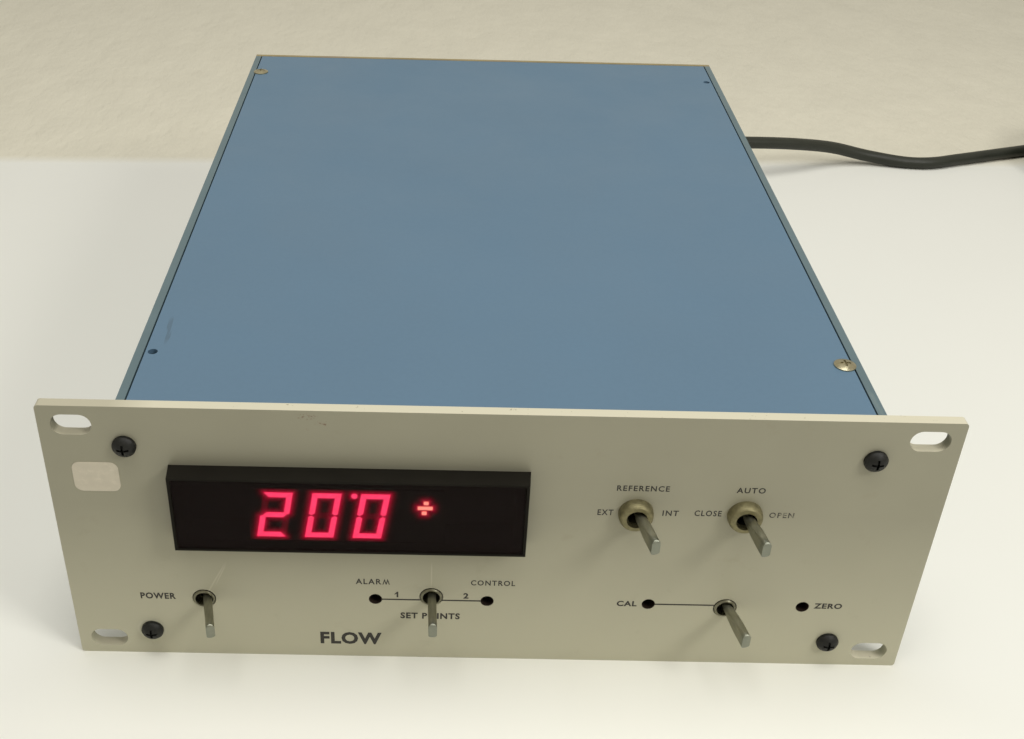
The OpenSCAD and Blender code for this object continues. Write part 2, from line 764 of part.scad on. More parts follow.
// Moulded case of a switch, with the hollow that the lever's tail swings in
module switch_case(s) {
    y0 = bushing_len - s[3] + switch_frame_t;
    hollow = [9, 4.8, single_h - 2];
    color([0.55, 0.10, 0.08]) difference() {
        translate([s[0], 0, s[1]]) plate(y0, switch_d - switch_frame_t)
            square([switch_w, s[2]], center = true);
        translate([s[0] - hollow[0] / 2, y0 - slack, s[1] - hollow[2] / 2]) cube(hollow);
    }
}

// A turned lever that widens to its rounded end, pressed to two flats with round edges, with its
// ball and tail
module switch_lever(s) {
    edge_cut = 0.05;
    tail_r = 0.7;
    tail_len = 7.5;
    color([0.70, 0.69, 0.66]) translate([s[0], pivot_depth - s[3], s[1]])
    rotate([0, 0, s[4]]) rotate([90, 0, 0]) {
        sphere(ball_r, $fn = 64);
        intersection() {
            rotate_extrude() polygon([
                [0, 0],
                [lever_root_r, 0],
                [lever_root_r, ball_r + 0.4],
                [lever_tip_r, lever_len - lever_round],
                for (a = [15:15:75])
                    [lever_tip_r - lever_round * (1 - cos(a)), lever_len - lever_round * (1 - sin(a))],
                [lever_tip_r - lever_round, lever_len],
                [0, lever_len]
            ]);
            linear_extrude(lever_len) rotate(90) obround(2 * (lever_tip_r - edge_cut), lever_flat);
        }
        rotate([180, 0, 0]) {
            cylinder(h = tail_len, r = tail_r);
            translate([0, 0, tail_len]) sphere(tail_r);
        }
    }
}

// Domed nuts that clamp the two upper switches from the front
module dress_nuts() {
    thread_len = high_out + 0.1;
    edge = 0.6;
    color([0.62, 0.56, 0.38]) for (s = [REFERENCE, VALVE])
        turned(s[0], 0, s[1]) mirror([0, 0, 1]) difference() {
            rotate_extrude() polygon([
                [0, 0],
                [dress_r, 0],
                [dress_r, edge],
                for (a = [15:15:90])
                    [
                        dress_rim_r + (dress_r - dress_rim_r) * cos(a),
                        edge + (dress_out - edge) * sin(a)
                    ],
                [0, dress_out]
            ]);
            translate([0, 0, -slack]) cylinder(h = thread_len + slack, r = bushing_r + screw_clear);
            cylinder(h = dress_out + 1, r = dress_mouth_r);
        }
}

// Hexagonal nuts behind the panel on the same two switches
module lock_nuts() {
    color([0.7, 0.7, 0.68]) for (s = [REFERENCE, VALVE])
        turned(s[0], panel_t, s[1]) difference() {
            cylinder(h = lock_nut_t, r = lock_nut_af / sqrt(3), $fn = 6);
            translate([0, 0, -1]) cylinder(h = lock_nut_t + 2, r = bushing_r + screw_clear);
        }
}

// Bent pins down to the board under the lower switches, straight lugs behind the upper ones
module switch_terminals() {
    pin_w = 0.9;
    pin_t = 0.5;
    lug_pitch = 4.7;
    lug_len = 4.5;
    color([0.8, 0.78, 0.7]) {
        for (s = [POWER, SETPOINT, CAL], i = [-1:1]) {
            back = bushing_len - s[3] + switch_d;
            rows = s[2] > single_h ? [-1, 1] : [0];
            for (r = rows) {
                z = s[1] + r * 2.4;
                reach = 2.4 + r * 1.2;
                translate([s[0] + i * lug_pitch - pin_w / 2, back, 0]) {
                    translate([0, 0, z - pin_t / 2]) cube([pin_w, reach, pin_t]);
                    translate([0, reach - pin_t, board_top]) cube([pin_w, pin_t, z - board_top]);
                }
            }
        }
        for (s = [REFERENCE, VALVE], i = [-1:1], r = [-1, 1])
            translate([s[0] + i * lug_pitch - pin_w, bushing_len - s[3] + switch_d, s[1] + r * 2.4 - pin_t / 2])
                cube([2 * pin_w, lug_len, pin_t]);
    }
}

module trimmer_bodies() {
    foot = 1.4;
    color([0.10, 0.25, 0.55]) for (x = TRIMMERS_X) {
        difference() {
            translate([x - trim_w / 2, panel_t + trim_back, board_top + trim_stand])
                cube([trim_w, trim_len, trim_h]);
            turned(x, panel_t + trim_back - 1, trim_row_z)
                cylinder(h = trim_screw_in + 1 + trim_clear, r = trim_screw_r + trim_clear);
        }
        for (y = [foot, trim_len - 2 * foot], s = [-1, 1])
            translate([x + s * (trim_w - foot) / 2 - foot / 2, panel_t + trim_back + y, board_top])
                cube([foot, foot, trim_stand + slack]);
    }
}

module trim_screw(x) {
    slot_w = 0.5;
    slot_deep = 0.7;
    color([0.8, 0.65, 0.3]) turned(x, panel_t + trim_back - trim_screw_out, trim_row_z) difference() {
        cylinder(h = trim_screw_out + trim_screw_in, r = trim_screw_r);
        translate([-trim_screw_r - 1, -slot_w / 2, -1])
            cube([2 * trim_screw_r + 2, slot_w, 1 + slot_deep]);
    }
}

// Stack of laminations with two windows round the middle leg
module transformer_core() {
    leg = core_w / 6;
    yoke = leg;
    color([0.28, 0.27, 0.26]) translate([transformer_x, 0, board_top + frame_t])
        plate(transformer_y - core_d / 2, core_d) translate([0, core_h / 2]) difference() {
            square([core_w, core_h], center = true);
            for (s = [-1, 1]) translate([s * core_w / 4, 0])
                square([core_w / 2 - 2 * leg, core_h - 2 * yoke], center = true);
        }
}

// The winding on its bobbin, a closed ring round the middle leg
module transformer_winding() {
    leg = core_w / 3;
    yoke = core_w / 6;
    clear = 0.2;
    height = core_h - 2 * yoke - 2 * clear;
    outer = [leg + 2 * winding_t, core_d + 2 * winding_t];
    color([0.75, 0.60, 0.30]) translate([transformer_x, transformer_y, board_top + frame_t + yoke + clear])
        linear_extrude(height) difference() {
            square(outer, center = true);
            square([leg + 2 * clear, core_d + 2 * clear], center = true);
        }
}

// A strip bent over the core, with two feet on the board
module transformer_frame() {
    foot = 9;
    hole_r = 1.7;
    band = core_d * 0.6;
    outer_w = core_w + 2 * frame_t;
    outer_h = core_h + 2 * frame_t;
    color([0.72, 0.71, 0.68]) translate([transformer_x, 0, board_top]) difference() {
        plate(transformer_y - band / 2, band) {
            difference() {
                translate([-outer_w / 2, 0]) square([outer_w, outer_h]);
                translate([-core_w / 2, frame_t]) square([core_w, core_h]);
            }
            for (s = [0, 1]) mirror([s, 0]) translate([outer_w / 2 - slack, 0]) square([foot, frame_t]);
        }
        for (s = [-1, 1]) translate([s * (outer_w / 2 + foot / 2), transformer_y, -1])
            cylinder(h = frame_t + 2, r = hole_r);
    }
}

// A can with the rolled groove that such capacitors have near their foot
module capacitor(r, h) {
    groove = 0.5;
    rotate_extrude() polygon([
        [0, 0], [r, 0], [r, 3], [r - groove, 3.6], [r - groove, 4.4], [r, 5],
        [r, h - 0.6], [r - 0.6, h], [0, h]
    ]);
}

module filter_capacitors() {
    color([0.12, 0.16, 0.32]) {
        translate([0, board_back - big_cap_back, board_top]) {
            capacitor(big_cap_r, big_cap_h);
            for (s = [-1, 1]) translate([small_cap_side, s * small_cap_pitch / 2, 0])
                capacitor(small_cap_r, small_cap_h);
        }
    }
}

// Upright three-legged regulators with their metal tabs
module voltage_regulators() {
    legs_h = 4;
    color([0.15, 0.15, 0.16]) for (i = [0, 1])
    translate([regulator_x + i * regulator_pitch, board_back - regulator_back, board_top]) {
        translate([-5, 0, legs_h]) cube([10, 4.4, 9]);
        difference() {
            translate([-5, 4.4 - slack, legs_h]) cube([10, 1.3, 15.5]);
            turned(0, 4, legs_h + 12.4) cylinder(h = 3, r = 1.8);
        }
        for (k = [-1:1]) translate([k * pin_pitch - 0.4, 1.8, 0]) cube([0.8, 0.6, legs_h + slack]);
    }
}

module alarm_relays() {
    stand = 0.6;
    foot = 1;
    inset = 2;
    color([0.85, 0.80, 0.65]) for (s = [-1, 1])
    translate([transformer_x + s * relay_pitch / 2 - relay_w / 2, transformer_y - relay_front, board_top]) {
        translate([0, 0, stand]) cube([relay_w, relay_d, relay_d]);
        for (x = [inset, relay_w - inset - foot], y = [inset, (relay_d - foot) / 2, relay_d - inset - foot])
            translate([x, y, 0]) cube([foot, foot, stand + slack]);
    }
}

// A dual in-line chip of so many pins, centred on its place
module chip(pins) {
    body_len = pins / 2 * pin_pitch - 0.4;
    stand = 0.6;
    leg_t = 0.3;
    leg_w = 0.5;
    leg_top = 1.6;
    difference() {
        translate([-chip_w / 2, -body_len / 2, stand]) cube([chip_w, body_len, chip_h - stand]);
        translate([0, -body_len / 2, chip_h - 0.6]) cylinder(h = 1, r = 0.9);
    }
    for (s = [0, 1], i = [0:pins / 2 - 1]) mirror([s, 0, 0])
        translate([chip_w / 2 - slack, (i - (pins / 2 - 1) / 2) * pin_pitch - leg_w / 2, 0]) {
            translate([0, 0, leg_top]) cube([leg_w + leg_t, leg_w, leg_t]);
            translate([leg_w, 0, 0]) cube([leg_t, leg_w, leg_top + leg_t]);
        }
}

module board_chips() {
    color([0.07, 0.07, 0.08]) for (row = [0:2], i = [0:2])
        translate([chip_x + i * chip_pitch, board_back - chip_rows[row], board_top]) chip(chip_pins[row]);
}

// Barrier strip on the rear panel: a base with a wall between each two terminals
module terminal_strip() {
    strip_w = strip_count * strip_pitch + 10;
    base_d = 8;
    wall = [1.6, 13, 16];
    color([0.08, 0.08, 0.08]) translate([strip_x, case_back, strip_z]) difference() {
        union() {
            translate([-strip_w / 2, 0, -wall[2] / 2]) cube([strip_w, base_d, wall[2]]);
            for (i = [0:strip_count])
                translate([(i - strip_count / 2) * strip_pitch - wall[0] / 2, 0, -wall[2] / 2]) cube(wall);
        }
        for (s = [-1, 1]) turned(s * (strip_w / 2 - 2.4), -1, 0) cylinder(h = base_d + 2, r = 1.6);
    }
}

module terminal_screws() {
    base_d = 8;
    color([0.75, 0.74, 0.70]) for (i = [0:strip_count - 1])
        turned(strip_x + (i - (strip_count - 1) / 2) * strip_pitch, case_back + base_d, strip_z)
            difference() {
                union() {
                    translate([-3.4, -3.4, 0]) cube([6.8, 6.8, 0.6]);
                    cylinder(h = 2.4, r = 2.8);
                }
                translate([-4, -0.4, 1.4]) cube([8, 0.8, 2]);
            }
}

// A 15-way socket: flange, shell with rounded corners and its insert with holes in two rows
signal_body_w = 26;
signal_body_h = 10;
module signal_connector() {
    flange = [39.2, 12.5];
    shell_out = 5.8;
    contact_pitch = 2.77;
    row_gap = 1.42;
    color([0.68, 0.68, 0.66]) translate([signal_x, case_back, signal_z]) difference() {
        union() {
            plate(0, 1) round_rect(flange[0], flange[1], 1.5);
            plate(0, shell_out) round_rect(signal_body_w - 2, 8.2, 2.4);
            plate(-10, 10 + slack) round_rect(signal_body_w, signal_body_h, 1.5);
        }
        for (i = [0:7]) turned((i - 3.5) * contact_pitch, 1, row_gap) cylinder(h = shell_out, r = 0.6);
        for (i = [0:6]) turned((i - 3) * contact_pitch, 1, -row_gap) cylinder(h = shell_out, r = 0.6);
    }
}

// Fuse holder: a flange outside, a long body inside, bored for the cap's stem and the fuse
fuse_r = 3.17;
fuse_len = 31.8;
fuse_flange = 2.5;
fuse_stem_r = 4.6;
fuse_stem_len = 12;
fuse_cup = 8;
fuse_end_gap = 0.3;
fuse_out = fuse_flange - fuse_stem_len + fuse_cup;
fuse_in = fuse_out - fuse_len;
module fuse_holder() {
    floor_t = 2;
    body_len = floor_t + fuse_end_gap - fuse_in;
    color([0.08, 0.08, 0.08]) turned(fuse_x, case_back, fuse_z) difference() {
        union() {
            cylinder(h = fuse_flange, r = fuse_body_r + 1.8);
            translate([0, 0, -body_len]) cylinder(h = body_len + slack, r = fuse_body_r);
        }
        translate([0, 0, fuse_flange - fuse_stem_len - fuse_end_gap])
            cylinder(h = fuse_stem_len + 1, r = fuse_stem_r + fuse_clear);
        translate([0, 0, -body_len + floor_t]) cylinder(h = body_len, r = fuse_r + 0.25);
    }
}

// Knurled bayonet cap with a hollow stem that takes the fuse's end
module fuse_cap() {
    flutes = 18;
    color([0.06, 0.06, 0.06]) turned(fuse_x, case_back + fuse_flange + fuse_end_gap, fuse_z) difference() {
        union() {
            cylinder(h = fuse_cap_len, r = fuse_cap_r);
            translate([0, 0, -fuse_stem_len]) cylinder(h = fuse_stem_len + slack, r = fuse_stem_r);
        }
        translate([0, 0, -fuse_stem_len - 1]) cylinder(h = fuse_cup + 1, r = fuse_r + 0.3);
        for (i = [0:flutes - 1]) rotate(i * 360 / flutes)
            translate([fuse_cap_r + 0.35, 0, 2]) cylinder(h = fuse_cap_len, r = 0.8);
        translate([-fuse_cap_r, -0.6, fuse_cap_len - 1.2]) cube([2 * fuse_cap_r, 1.2, 2]);
    }
}

module fuse() {
    color([0.8, 0.8, 0.78]) turned(fuse_x, case_back + fuse_in, fuse_z) cylinder(h = fuse_len, r = fuse_r);
}

// Strain relief: inner clamp, head against the panel and a ribbed tapering boot, turned in one piece
relief_neck_r = 7;
module strain_relief() {
    inner_len = 8;
    head_t = 3;
    boot_r = 6.4;
    end_r = cord_r + 1;
    ribs = 5;
    rib = 0.5;
    run = relief_len - head_t;
    step = run / (2 * ribs);
    color([0.05, 0.05, 0.05]) turned(cord_x, case_back, cord_z) rotate_extrude() polygon([
        [0, -inner_len],
        [relief_neck_r - 1, -inner_len],
        [relief_neck_r, -inner_len + 1],
        [relief_neck_r, 0],
        [relief_head_r, 0],
        [relief_head_r, head_t - 0.8],
        [relief_head_r - 0.8, head_t],
        for (i = [0:ribs - 1])
            let (r0 = boot_r + (end_r - boot_r) * (2 * i) / (2 * ribs), y0 = head_t + 2 * i * step)
            each [[r0, y0], [r0 - 0.1, y0 + step], [r0 - 0.1 - rib, y0 + step], [r0 - 0.1 - rib, y0 + 2 * step]],
        [end_r, relief_len - 0.5],
        [end_r, relief_len],
        [0, relief_len]
    ]);
}

// A point at share t between points i and i + 1 of a route, on a smooth curve through them all
function on_route(p, i, t) =
    let (
        a = p[max(i - 1, 0)],
        b = p[i],
        c = p[i + 1],
        d = p[min(i + 2, len(p) - 1)]
    )
    0.5 * (2 * b + (c - a) * t + (2 * a - 5 * b + 4 * c - d) * t * t + (3 * b - a - 3 * c + d) * t * t * t);

function route_points(p, steps) = [
    for (i = [0:len(p) - 2], k = [0:steps - 1]) on_route(p, i, k / steps),
    p[len(p) - 1]
];

function unit(v) = v / norm(v);

// The cord's direction at point i, which at the two ends is that of the outermost stretch
function heading(q, i) = unit(q[min(i + 1, len(q) - 1)] - q[max(i - 1, 0)]);

function ring(q, i, r, sides) =
    let (
        ahead = heading(q, i),
        side = unit(cross(ahead, [0, 0, 1])),
        up = cross(side, ahead)
    )
    [for (k = [0:sides - 1]) q[i] + r * (cos(360 * (k + 0.5) / sides) * side + sin(360 * (k + 0.5) / sides) * up)];

// One closed tube swept along the points q
module swept_tube(q, r, sides) {
    last = len(q) - 1;
    polyhedron(
        points = [for (i = [0:last]) each ring(q, i, r, sides)],
        faces = [
            [for (k = [0:sides - 1]) k],
            [for (k = [sides - 1:-1:0]) last * sides + k],
            for (i = [0:last - 1], k = [0:sides - 1])
                let (a = i * sides + k, b = i * sides + (k + 1) % sides)
                each [[a, a + sides, b], [b, a + sides, b + sides]]
        ]
    );
}

module power_cord() {
    start = [cord_x, case_back + relief_len, cord_up];
    sides = 10;
    color([0.08, 0.08, 0.08]) translate([0, 0, floor_z]) {
        swept_tube(route_points(concat([start], CORD_ROUTE), 2), cord_r, sides);
        swept_tube(route_points(CORD_TAIL, 2), cord_r, sides);
    }
}

// Outer shape of the wound-up length
module cord_coil() {
    height = coil_layer * coil_layers;
    edge = cord_r * 0.8;
    color([0.08, 0.08, 0.08]) translate([COIL_CENTRE[0], COIL_CENTRE[1], floor_z])
        rotate_extrude($fn = 96) translate([coil_r, height / 2]) round_rect(coil_w, height, edge);
}

// The plug lies on the coil and points along the cord's last stretch
module on_plug() {
    translate([tail_end[0], tail_end[1], floor_z + tail_end[2]]) rotate([0, 0, plug_turn]) children();
}

module power_plug() {
    ribs = 4;
    tail_r = 7.5;
    end_r = cord_r + 1.2;
    step = plug_tail / (2 * ribs);
    color([0.07, 0.07, 0.07]) on_plug() {
        rotate([0, 90, 0]) rotate_extrude() polygon([
            [0, 0],
            for (i = [0:ribs - 1])
                let (r = end_r + (tail_r - end_r) * i / ribs, x = 2 * i * step)
                each [[r, x], [r + 0.3, x + step], [r - 0.3, x + step], [r, x + 2 * step]],
            [tail_r, plug_tail + 1],
            [0, plug_tail + 1]
        ]);
        translate([plug_tail, 0, 0]) rotate([90, 0, 90]) linear_extrude(plug_len) round_rect(plug_w, plug_h, 5);
    }
}

// Two flat blades and the round earth pin
module plug_blades() {
    blade = [16, 1.5, 6.35];
    blade_gap = 12.7;
    blade_z = 4;
    pin_r = 2.4;
    pin_len = 16;
    pin_z = -7;
    front = plug_tail + plug_len;
    color([0.75, 0.70, 0.55]) on_plug() translate([front, 0, 0]) {
        for (s = [-1, 1]) translate([0, s * blade_gap / 2 - blade[1] / 2, blade_z - blade[2] / 2]) cube(blade);
        translate([0, 0, pin_z]) rotate([0, 90, 0]) cylinder(h = pin_len, r = pin_r);
        translate([pin_len, 0, pin_z]) sphere(pin_r);
    }
}

front_panel();
panel_screws();
left_side_rail();
right_side_rail();
top_cover();
bottom_cover();
top_cover_screws();
bottom_cover_screws();
rear_panel();
rear_panel_screws();
meter_case();
meter_filter();
meter_clips();
meter_display_board();
meter_converter_board();
digit_modules();
sign_module();
lit_segments();
main_board();
switch_bushing(POWER);  // power_bushing
switch_case(POWER);  // power_switch_case
switch_lever(POWER);  // power_lever
switch_bushing(SETPOINT);  // setpoint_bushing
switch_case(SETPOINT);  // setpoint_switch_case
switch_lever(SETPOINT);  // setpoint_lever
switch_bushing(REFERENCE);  // reference_bushing
switch_case(REFERENCE);  // reference_switch_case
switch_lever(REFERENCE);  // reference_lever
switch_bushing(VALVE);  // valve_bushing
switch_case(VALVE);  // valve_switch_case
switch_lever(VALVE);  // valve_lever
switch_bushing(CAL);  // cal_bushing
switch_case(CAL);  // cal_switch_case
switch_lever(CAL);  // cal_lever
dress_nuts();
lock_nuts();
switch_terminals();
trimmer_bodies();
trim_screw(alarm_x);  // alarm_trim_screw
trim_screw(control_x);  // control_trim_screw
trim_screw(cal_trim_x);  // cal_trim_screw
trim_screw(zero_x);  // zero_trim_screw
transformer_core();
transformer_winding();
transformer_frame();
filter_capacitors();
voltage_regulators();
alarm_relays();
board_chips();
terminal_strip();
terminal_screws();
signal_connector();
fuse_holder();
fuse_cap();
fuse();
strain_relief();
power_cord();
cord_coil();
power_plug();
plug_blades();
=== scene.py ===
"""Half-rack flow controller: camera, mains cord, finishes, lettering, display glow, floor and lights."""
import json
import math

import bpy
from mathutils import Matrix, Vector
from mathutils.bvhtree import BVHTree


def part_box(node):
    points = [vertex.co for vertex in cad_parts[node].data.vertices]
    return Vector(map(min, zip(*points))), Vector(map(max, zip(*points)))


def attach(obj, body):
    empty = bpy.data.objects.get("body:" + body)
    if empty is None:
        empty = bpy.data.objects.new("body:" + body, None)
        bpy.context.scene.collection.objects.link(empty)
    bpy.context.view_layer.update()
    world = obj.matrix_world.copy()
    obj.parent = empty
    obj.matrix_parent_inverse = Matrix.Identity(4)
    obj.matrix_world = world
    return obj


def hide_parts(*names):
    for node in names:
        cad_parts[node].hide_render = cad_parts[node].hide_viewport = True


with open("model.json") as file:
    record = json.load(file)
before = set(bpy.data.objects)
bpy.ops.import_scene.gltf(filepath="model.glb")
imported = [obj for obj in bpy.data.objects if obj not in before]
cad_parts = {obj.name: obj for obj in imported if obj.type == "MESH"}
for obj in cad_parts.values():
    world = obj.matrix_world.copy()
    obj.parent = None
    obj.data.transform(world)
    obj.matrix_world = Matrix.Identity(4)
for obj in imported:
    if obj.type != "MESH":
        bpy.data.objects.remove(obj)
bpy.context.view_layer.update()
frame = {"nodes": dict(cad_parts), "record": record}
nodes = frame["nodes"]
MM = 0.001
FLOOR_Z = -44.45 * MM


# Camera, at the photograph's viewing point

IMAGE_WIDTH = 1024
FOCAL_PIXELS = 1216.07
CENTRE_PIXEL_X = 451.9
SENSOR = 36
CAMERA_AT = Vector((-16.615, -254.984, 225.833)) * MM
CAMERA_FORWARD = Vector((0.0101, 0.8353, -0.5497)).normalized()
CAMERA_RIGHT = Vector((0.9997, 0.0028, 0.0227))


def make_camera():
    """The camera keeps the photograph's perspective, whose centre lies left of the picture's middle."""
    data = bpy.data.cameras.new("camera")
    data.sensor_width = SENSOR
    data.lens = FOCAL_PIXELS * SENSOR / IMAGE_WIDTH
    data.shift_x = (IMAGE_WIDTH / 2 - CENTRE_PIXEL_X) / IMAGE_WIDTH
    data.clip_start = 0.01
    camera = bpy.data.objects.new("camera", data)
    up = CAMERA_RIGHT.cross(CAMERA_FORWARD).normalized()
    right = CAMERA_FORWARD.cross(up)
    turn = Matrix((right, up, -CAMERA_FORWARD)).transposed().to_4x4()
    camera.matrix_world = Matrix.Translation(CAMERA_AT) @ turn
    bpy.context.scene.collection.objects.link(camera)
    bpy.context.scene.camera = camera


make_camera()


# Node helpers


def srgb(red, green, blue):
    """A screen colour from 0 to 255 as the linear colour that a shader takes."""
    def linear(value):
        share = value / 255
        return share / 12.92 if share <= 0.04045 else ((share + 0.055) / 1.055) ** 2.4
    return (linear(red), linear(green), linear(blue), 1)


def shade(color, factor):
    """The colour, made lighter or darker by factor."""
    return tuple(min(1, part * factor) for part in color[:3]) + (1,)


class Finish:
    """A material under construction: its shader, its node tree and its place coordinates."""

    def __init__(self, name, color, roughness=0.5, metallic=0.0):
        self.material = bpy.data.materials.new(name)
        self.material.use_nodes = True
        self.tree = self.material.node_tree
        self.shader = self.tree.nodes["Principled BSDF"]
        self.shader.inputs["Metallic"].default_value = metallic
        self.shader.inputs["Roughness"].default_value = roughness
        self.shader.inputs["Base Color"].default_value = color
        self.place = self.tree.nodes.new("ShaderNodeTexCoord").outputs["Object"]
        self.color = None

    def link(self, source, target):
        self.tree.links.new(source, target)

    def make(self, kind, **settings):
        made = self.tree.nodes.new(kind)
        for key, value in settings.items():
            setattr(made, key, value)
        return made

    def stretched(self, stretch):
        """The place coordinates, multiplied by stretch along each axis."""
        mapping = self.make("ShaderNodeMapping")
        mapping.inputs["Scale"].default_value = stretch
        self.link(self.place, mapping.inputs["Vector"])
        return mapping.outputs["Vector"]

    def noise(self, size, detail=3, stretch=(1, 1, 1), rough=0.5):
        """A noise value whose blotches are about size metres across."""
        made = self.make("ShaderNodeTexNoise")
        made.inputs["Scale"].default_value = 1 / size
        made.inputs["Detail"].default_value = detail
        made.inputs["Roughness"].default_value = rough
        self.link(self.stretched(stretch), made.inputs["Vector"])
        return made.outputs["Fac"]

    def ramp(self, value, low, high, start=0.0, end=1.0):
        """value between low and high, spread over start to end."""
        made = self.make("ShaderNodeMapRange")
        made.inputs["From Min"].default_value = low
        made.inputs["From Max"].default_value = high
        made.inputs["To Min"].default_value = start
        made.inputs["To Max"].default_value = end
        self.link(value, made.inputs["Value"])
        return made.outputs["Result"]

    def math(self, operation, first, second):
        made = self.make("ShaderNodeMath", operation=operation)
        for socket, value in zip(made.inputs, (first, second)):
            if isinstance(value, (int, float)):
                socket.default_value = value
            else:
                self.link(value, socket)
        return made.outputs[0]

    def axis(self, letter):
        made = self.make("ShaderNodeSeparateXYZ")
        self.link(self.place, made.inputs[0])
        return made.outputs[letter]

    def facing(self, letter):
        """How far the surface faces along an axis, from -1 to 1."""
        made = self.make("ShaderNodeSeparateXYZ")
        self.link(self.make("ShaderNodeNewGeometry").outputs["True Normal"], made.inputs[0])
        return made.outputs[letter]

    def away(self, centre, reach, lean=0):
        """0 at centre and 1 at reach metres along each axis, in a frame that leans lean degrees about Y."""
        moved = self.make("ShaderNodeVectorMath", operation="SUBTRACT")
        moved.inputs[1].default_value = centre
        self.link(self.place, moved.inputs[0])
        turned = self.make("ShaderNodeVectorRotate", rotation_type="Y_AXIS")
        turned.inputs["Angle"].default_value = math.radians(lean)
        self.link(moved.outputs["Vector"], turned.inputs["Vector"])
        scaled = self.make("ShaderNodeVectorMath", operation="MULTIPLY")
        scaled.inputs[1].default_value = tuple(1 / r for r in reach)
        self.link(turned.outputs["Vector"], scaled.inputs[0])
        length = self.make("ShaderNodeVectorMath", operation="LENGTH")
        self.link(scaled.outputs["Vector"], length.inputs[0])
        return length.outputs["Value"]

    def near(self, centre, reach, lean=0):
        """1 at centre, falling to 0 at reach metres along each axis."""
        return self.ramp(self.away(centre, reach, lean), 0.6, 1.0, 1.0, 0.0)

    def both(self, *masks):
        """The product of masks and shares."""
        product = masks[0]
        for mask in masks[1:]:
            product = self.math("MULTIPLY", product, mask)
        return product

    def tones(self, value, *stops):
        """A colour ramp over value, from (position, colour) stops."""
        made = self.make("ShaderNodeValToRGB")
        elements = made.color_ramp.elements
        while len(elements) < len(stops):
            elements.new(0.5)
        for element, (position, color) in zip(elements, stops):
            element.position = position
            element.color = color
        self.link(value, made.inputs["Fac"])
        self.use(made.outputs["Color"])

    def use(self, color):
        self.color = color
        self.link(color, self.shader.inputs["Base Color"])

    def cover(self, mask, color):
        """Lays a colour over what is there, where mask is 1."""
        made = self.make("ShaderNodeMix", data_type="RGBA")
        self.link(mask, made.inputs["Factor"])
        self.link(self.color, made.inputs["A"])
        made.inputs["B"].default_value = color
        self.use(made.outputs["Result"])

    def vary_roughness(self, value, low, high):
        self.link(self.ramp(value, 0.3, 0.7, low, high), self.shader.inputs["Roughness"])

    def bump(self, height, strength, distance):
        made = self.make("ShaderNodeBump")
        made.inputs["Strength"].default_value = strength
        made.inputs["Distance"].default_value = distance
        self.link(height, made.inputs["Height"])
        self.link(made.outputs["Normal"], self.shader.inputs["Normal"])


def mottled(name, color, spread=0.06, size=0.01, roughness=0.5, metallic=0.0, grain=0.0006, depth=0.00002,
            stretch=(1, 1, 1)):
    """The common finish: blotches of slightly lighter and darker colour, uneven gloss and a fine grain."""
    finish = Finish(name, color, roughness, metallic)
    blotches = finish.noise(size, 4, stretch)
    finish.tones(blotches, (0.3, shade(color, 1 - spread)), (0.7, shade(color, 1 + spread)))
    finish.vary_roughness(finish.noise(size * 0.6, 3, stretch), roughness - 0.06, roughness + 0.06)
    finish.bump(finish.noise(grain, 2, stretch), 0.4, depth)
    return finish


# Cord: places in millimetres, heights above the floor. The route's points are those of the solid cord.

CORD_D = 6.3
CORD_EXIT = (85, 298.175, 27)
CORD_ROUTE = [
    (85, 306, 27), (87, 318, 26), (93, 328, 25), (102, 336, 24), (112, 340, 23), (128, 345, 21.5),
    (146, 350, 20), (171, 358, 16.5), (195, 367.5, 11), (216, 370.5, 5.5), (236, 368, 3.2),
    (251, 367.5, 3.2), (268, 373, 3.2), (291, 381, 3.2), (311, 388, 3.2), (327, 393.8, 3.2),
]
CORD_TAIL = [
    (349, 399.35, 22.4), (362.5, 396.8, 24), (371.3, 391, 27.5), (377.6, 382.2, 32), (379.3, 373, 35.2),
    (377.9, 363.8, 36.6), (375.9, 358, 36.6),
]
COIL_CENTRE = (349, 361)
COIL_OUTER = 38.35
COIL_INNER = 28.65
COIL_LAYERS = 4
LAYER_HEIGHT = 6.4
TURNS_PER_LAYER = 1.5
TURNS_PER_RISE = 0.35
POINTS_PER_TURN = 20
COIL_END = math.radians(90)
CORD_LIFT = 0.05


def coil_points():
    """Turns wound in and out in layers, seen from above clockwise, ending above the far side."""
    turns = COIL_LAYERS * TURNS_PER_LAYER + (COIL_LAYERS - 1) * TURNS_PER_RISE
    count = round(turns * POINTS_PER_TURN)
    points = []
    for i in range(count):
        done = turns * i / count
        layer = min(int(done / (TURNS_PER_LAYER + TURNS_PER_RISE)), COIL_LAYERS - 1)
        along = done - layer * (TURNS_PER_LAYER + TURNS_PER_RISE)
        inward = min(1, along / TURNS_PER_LAYER)
        if layer % 2:
            inward = 1 - inward
        rise = max(0, along - TURNS_PER_LAYER) / TURNS_PER_RISE
        radius = COIL_OUTER + (COIL_INNER - COIL_OUTER) * inward
        angle = COIL_END + (turns - done) * math.tau
        points.append((
            COIL_CENTRE[0] + radius * math.cos(angle),
            COIL_CENTRE[1] + radius * math.sin(angle),
            CORD_D / 2 + CORD_LIFT + LAYER_HEIGHT * (layer + rise * rise * (3 - 2 * rise)),
        ))
    return points


def place(point):
    """A point in millimetres above the floor as metres in the frame."""
    return Vector((point[0] * MM, point[1] * MM, point[2] * MM + FLOOR_Z))


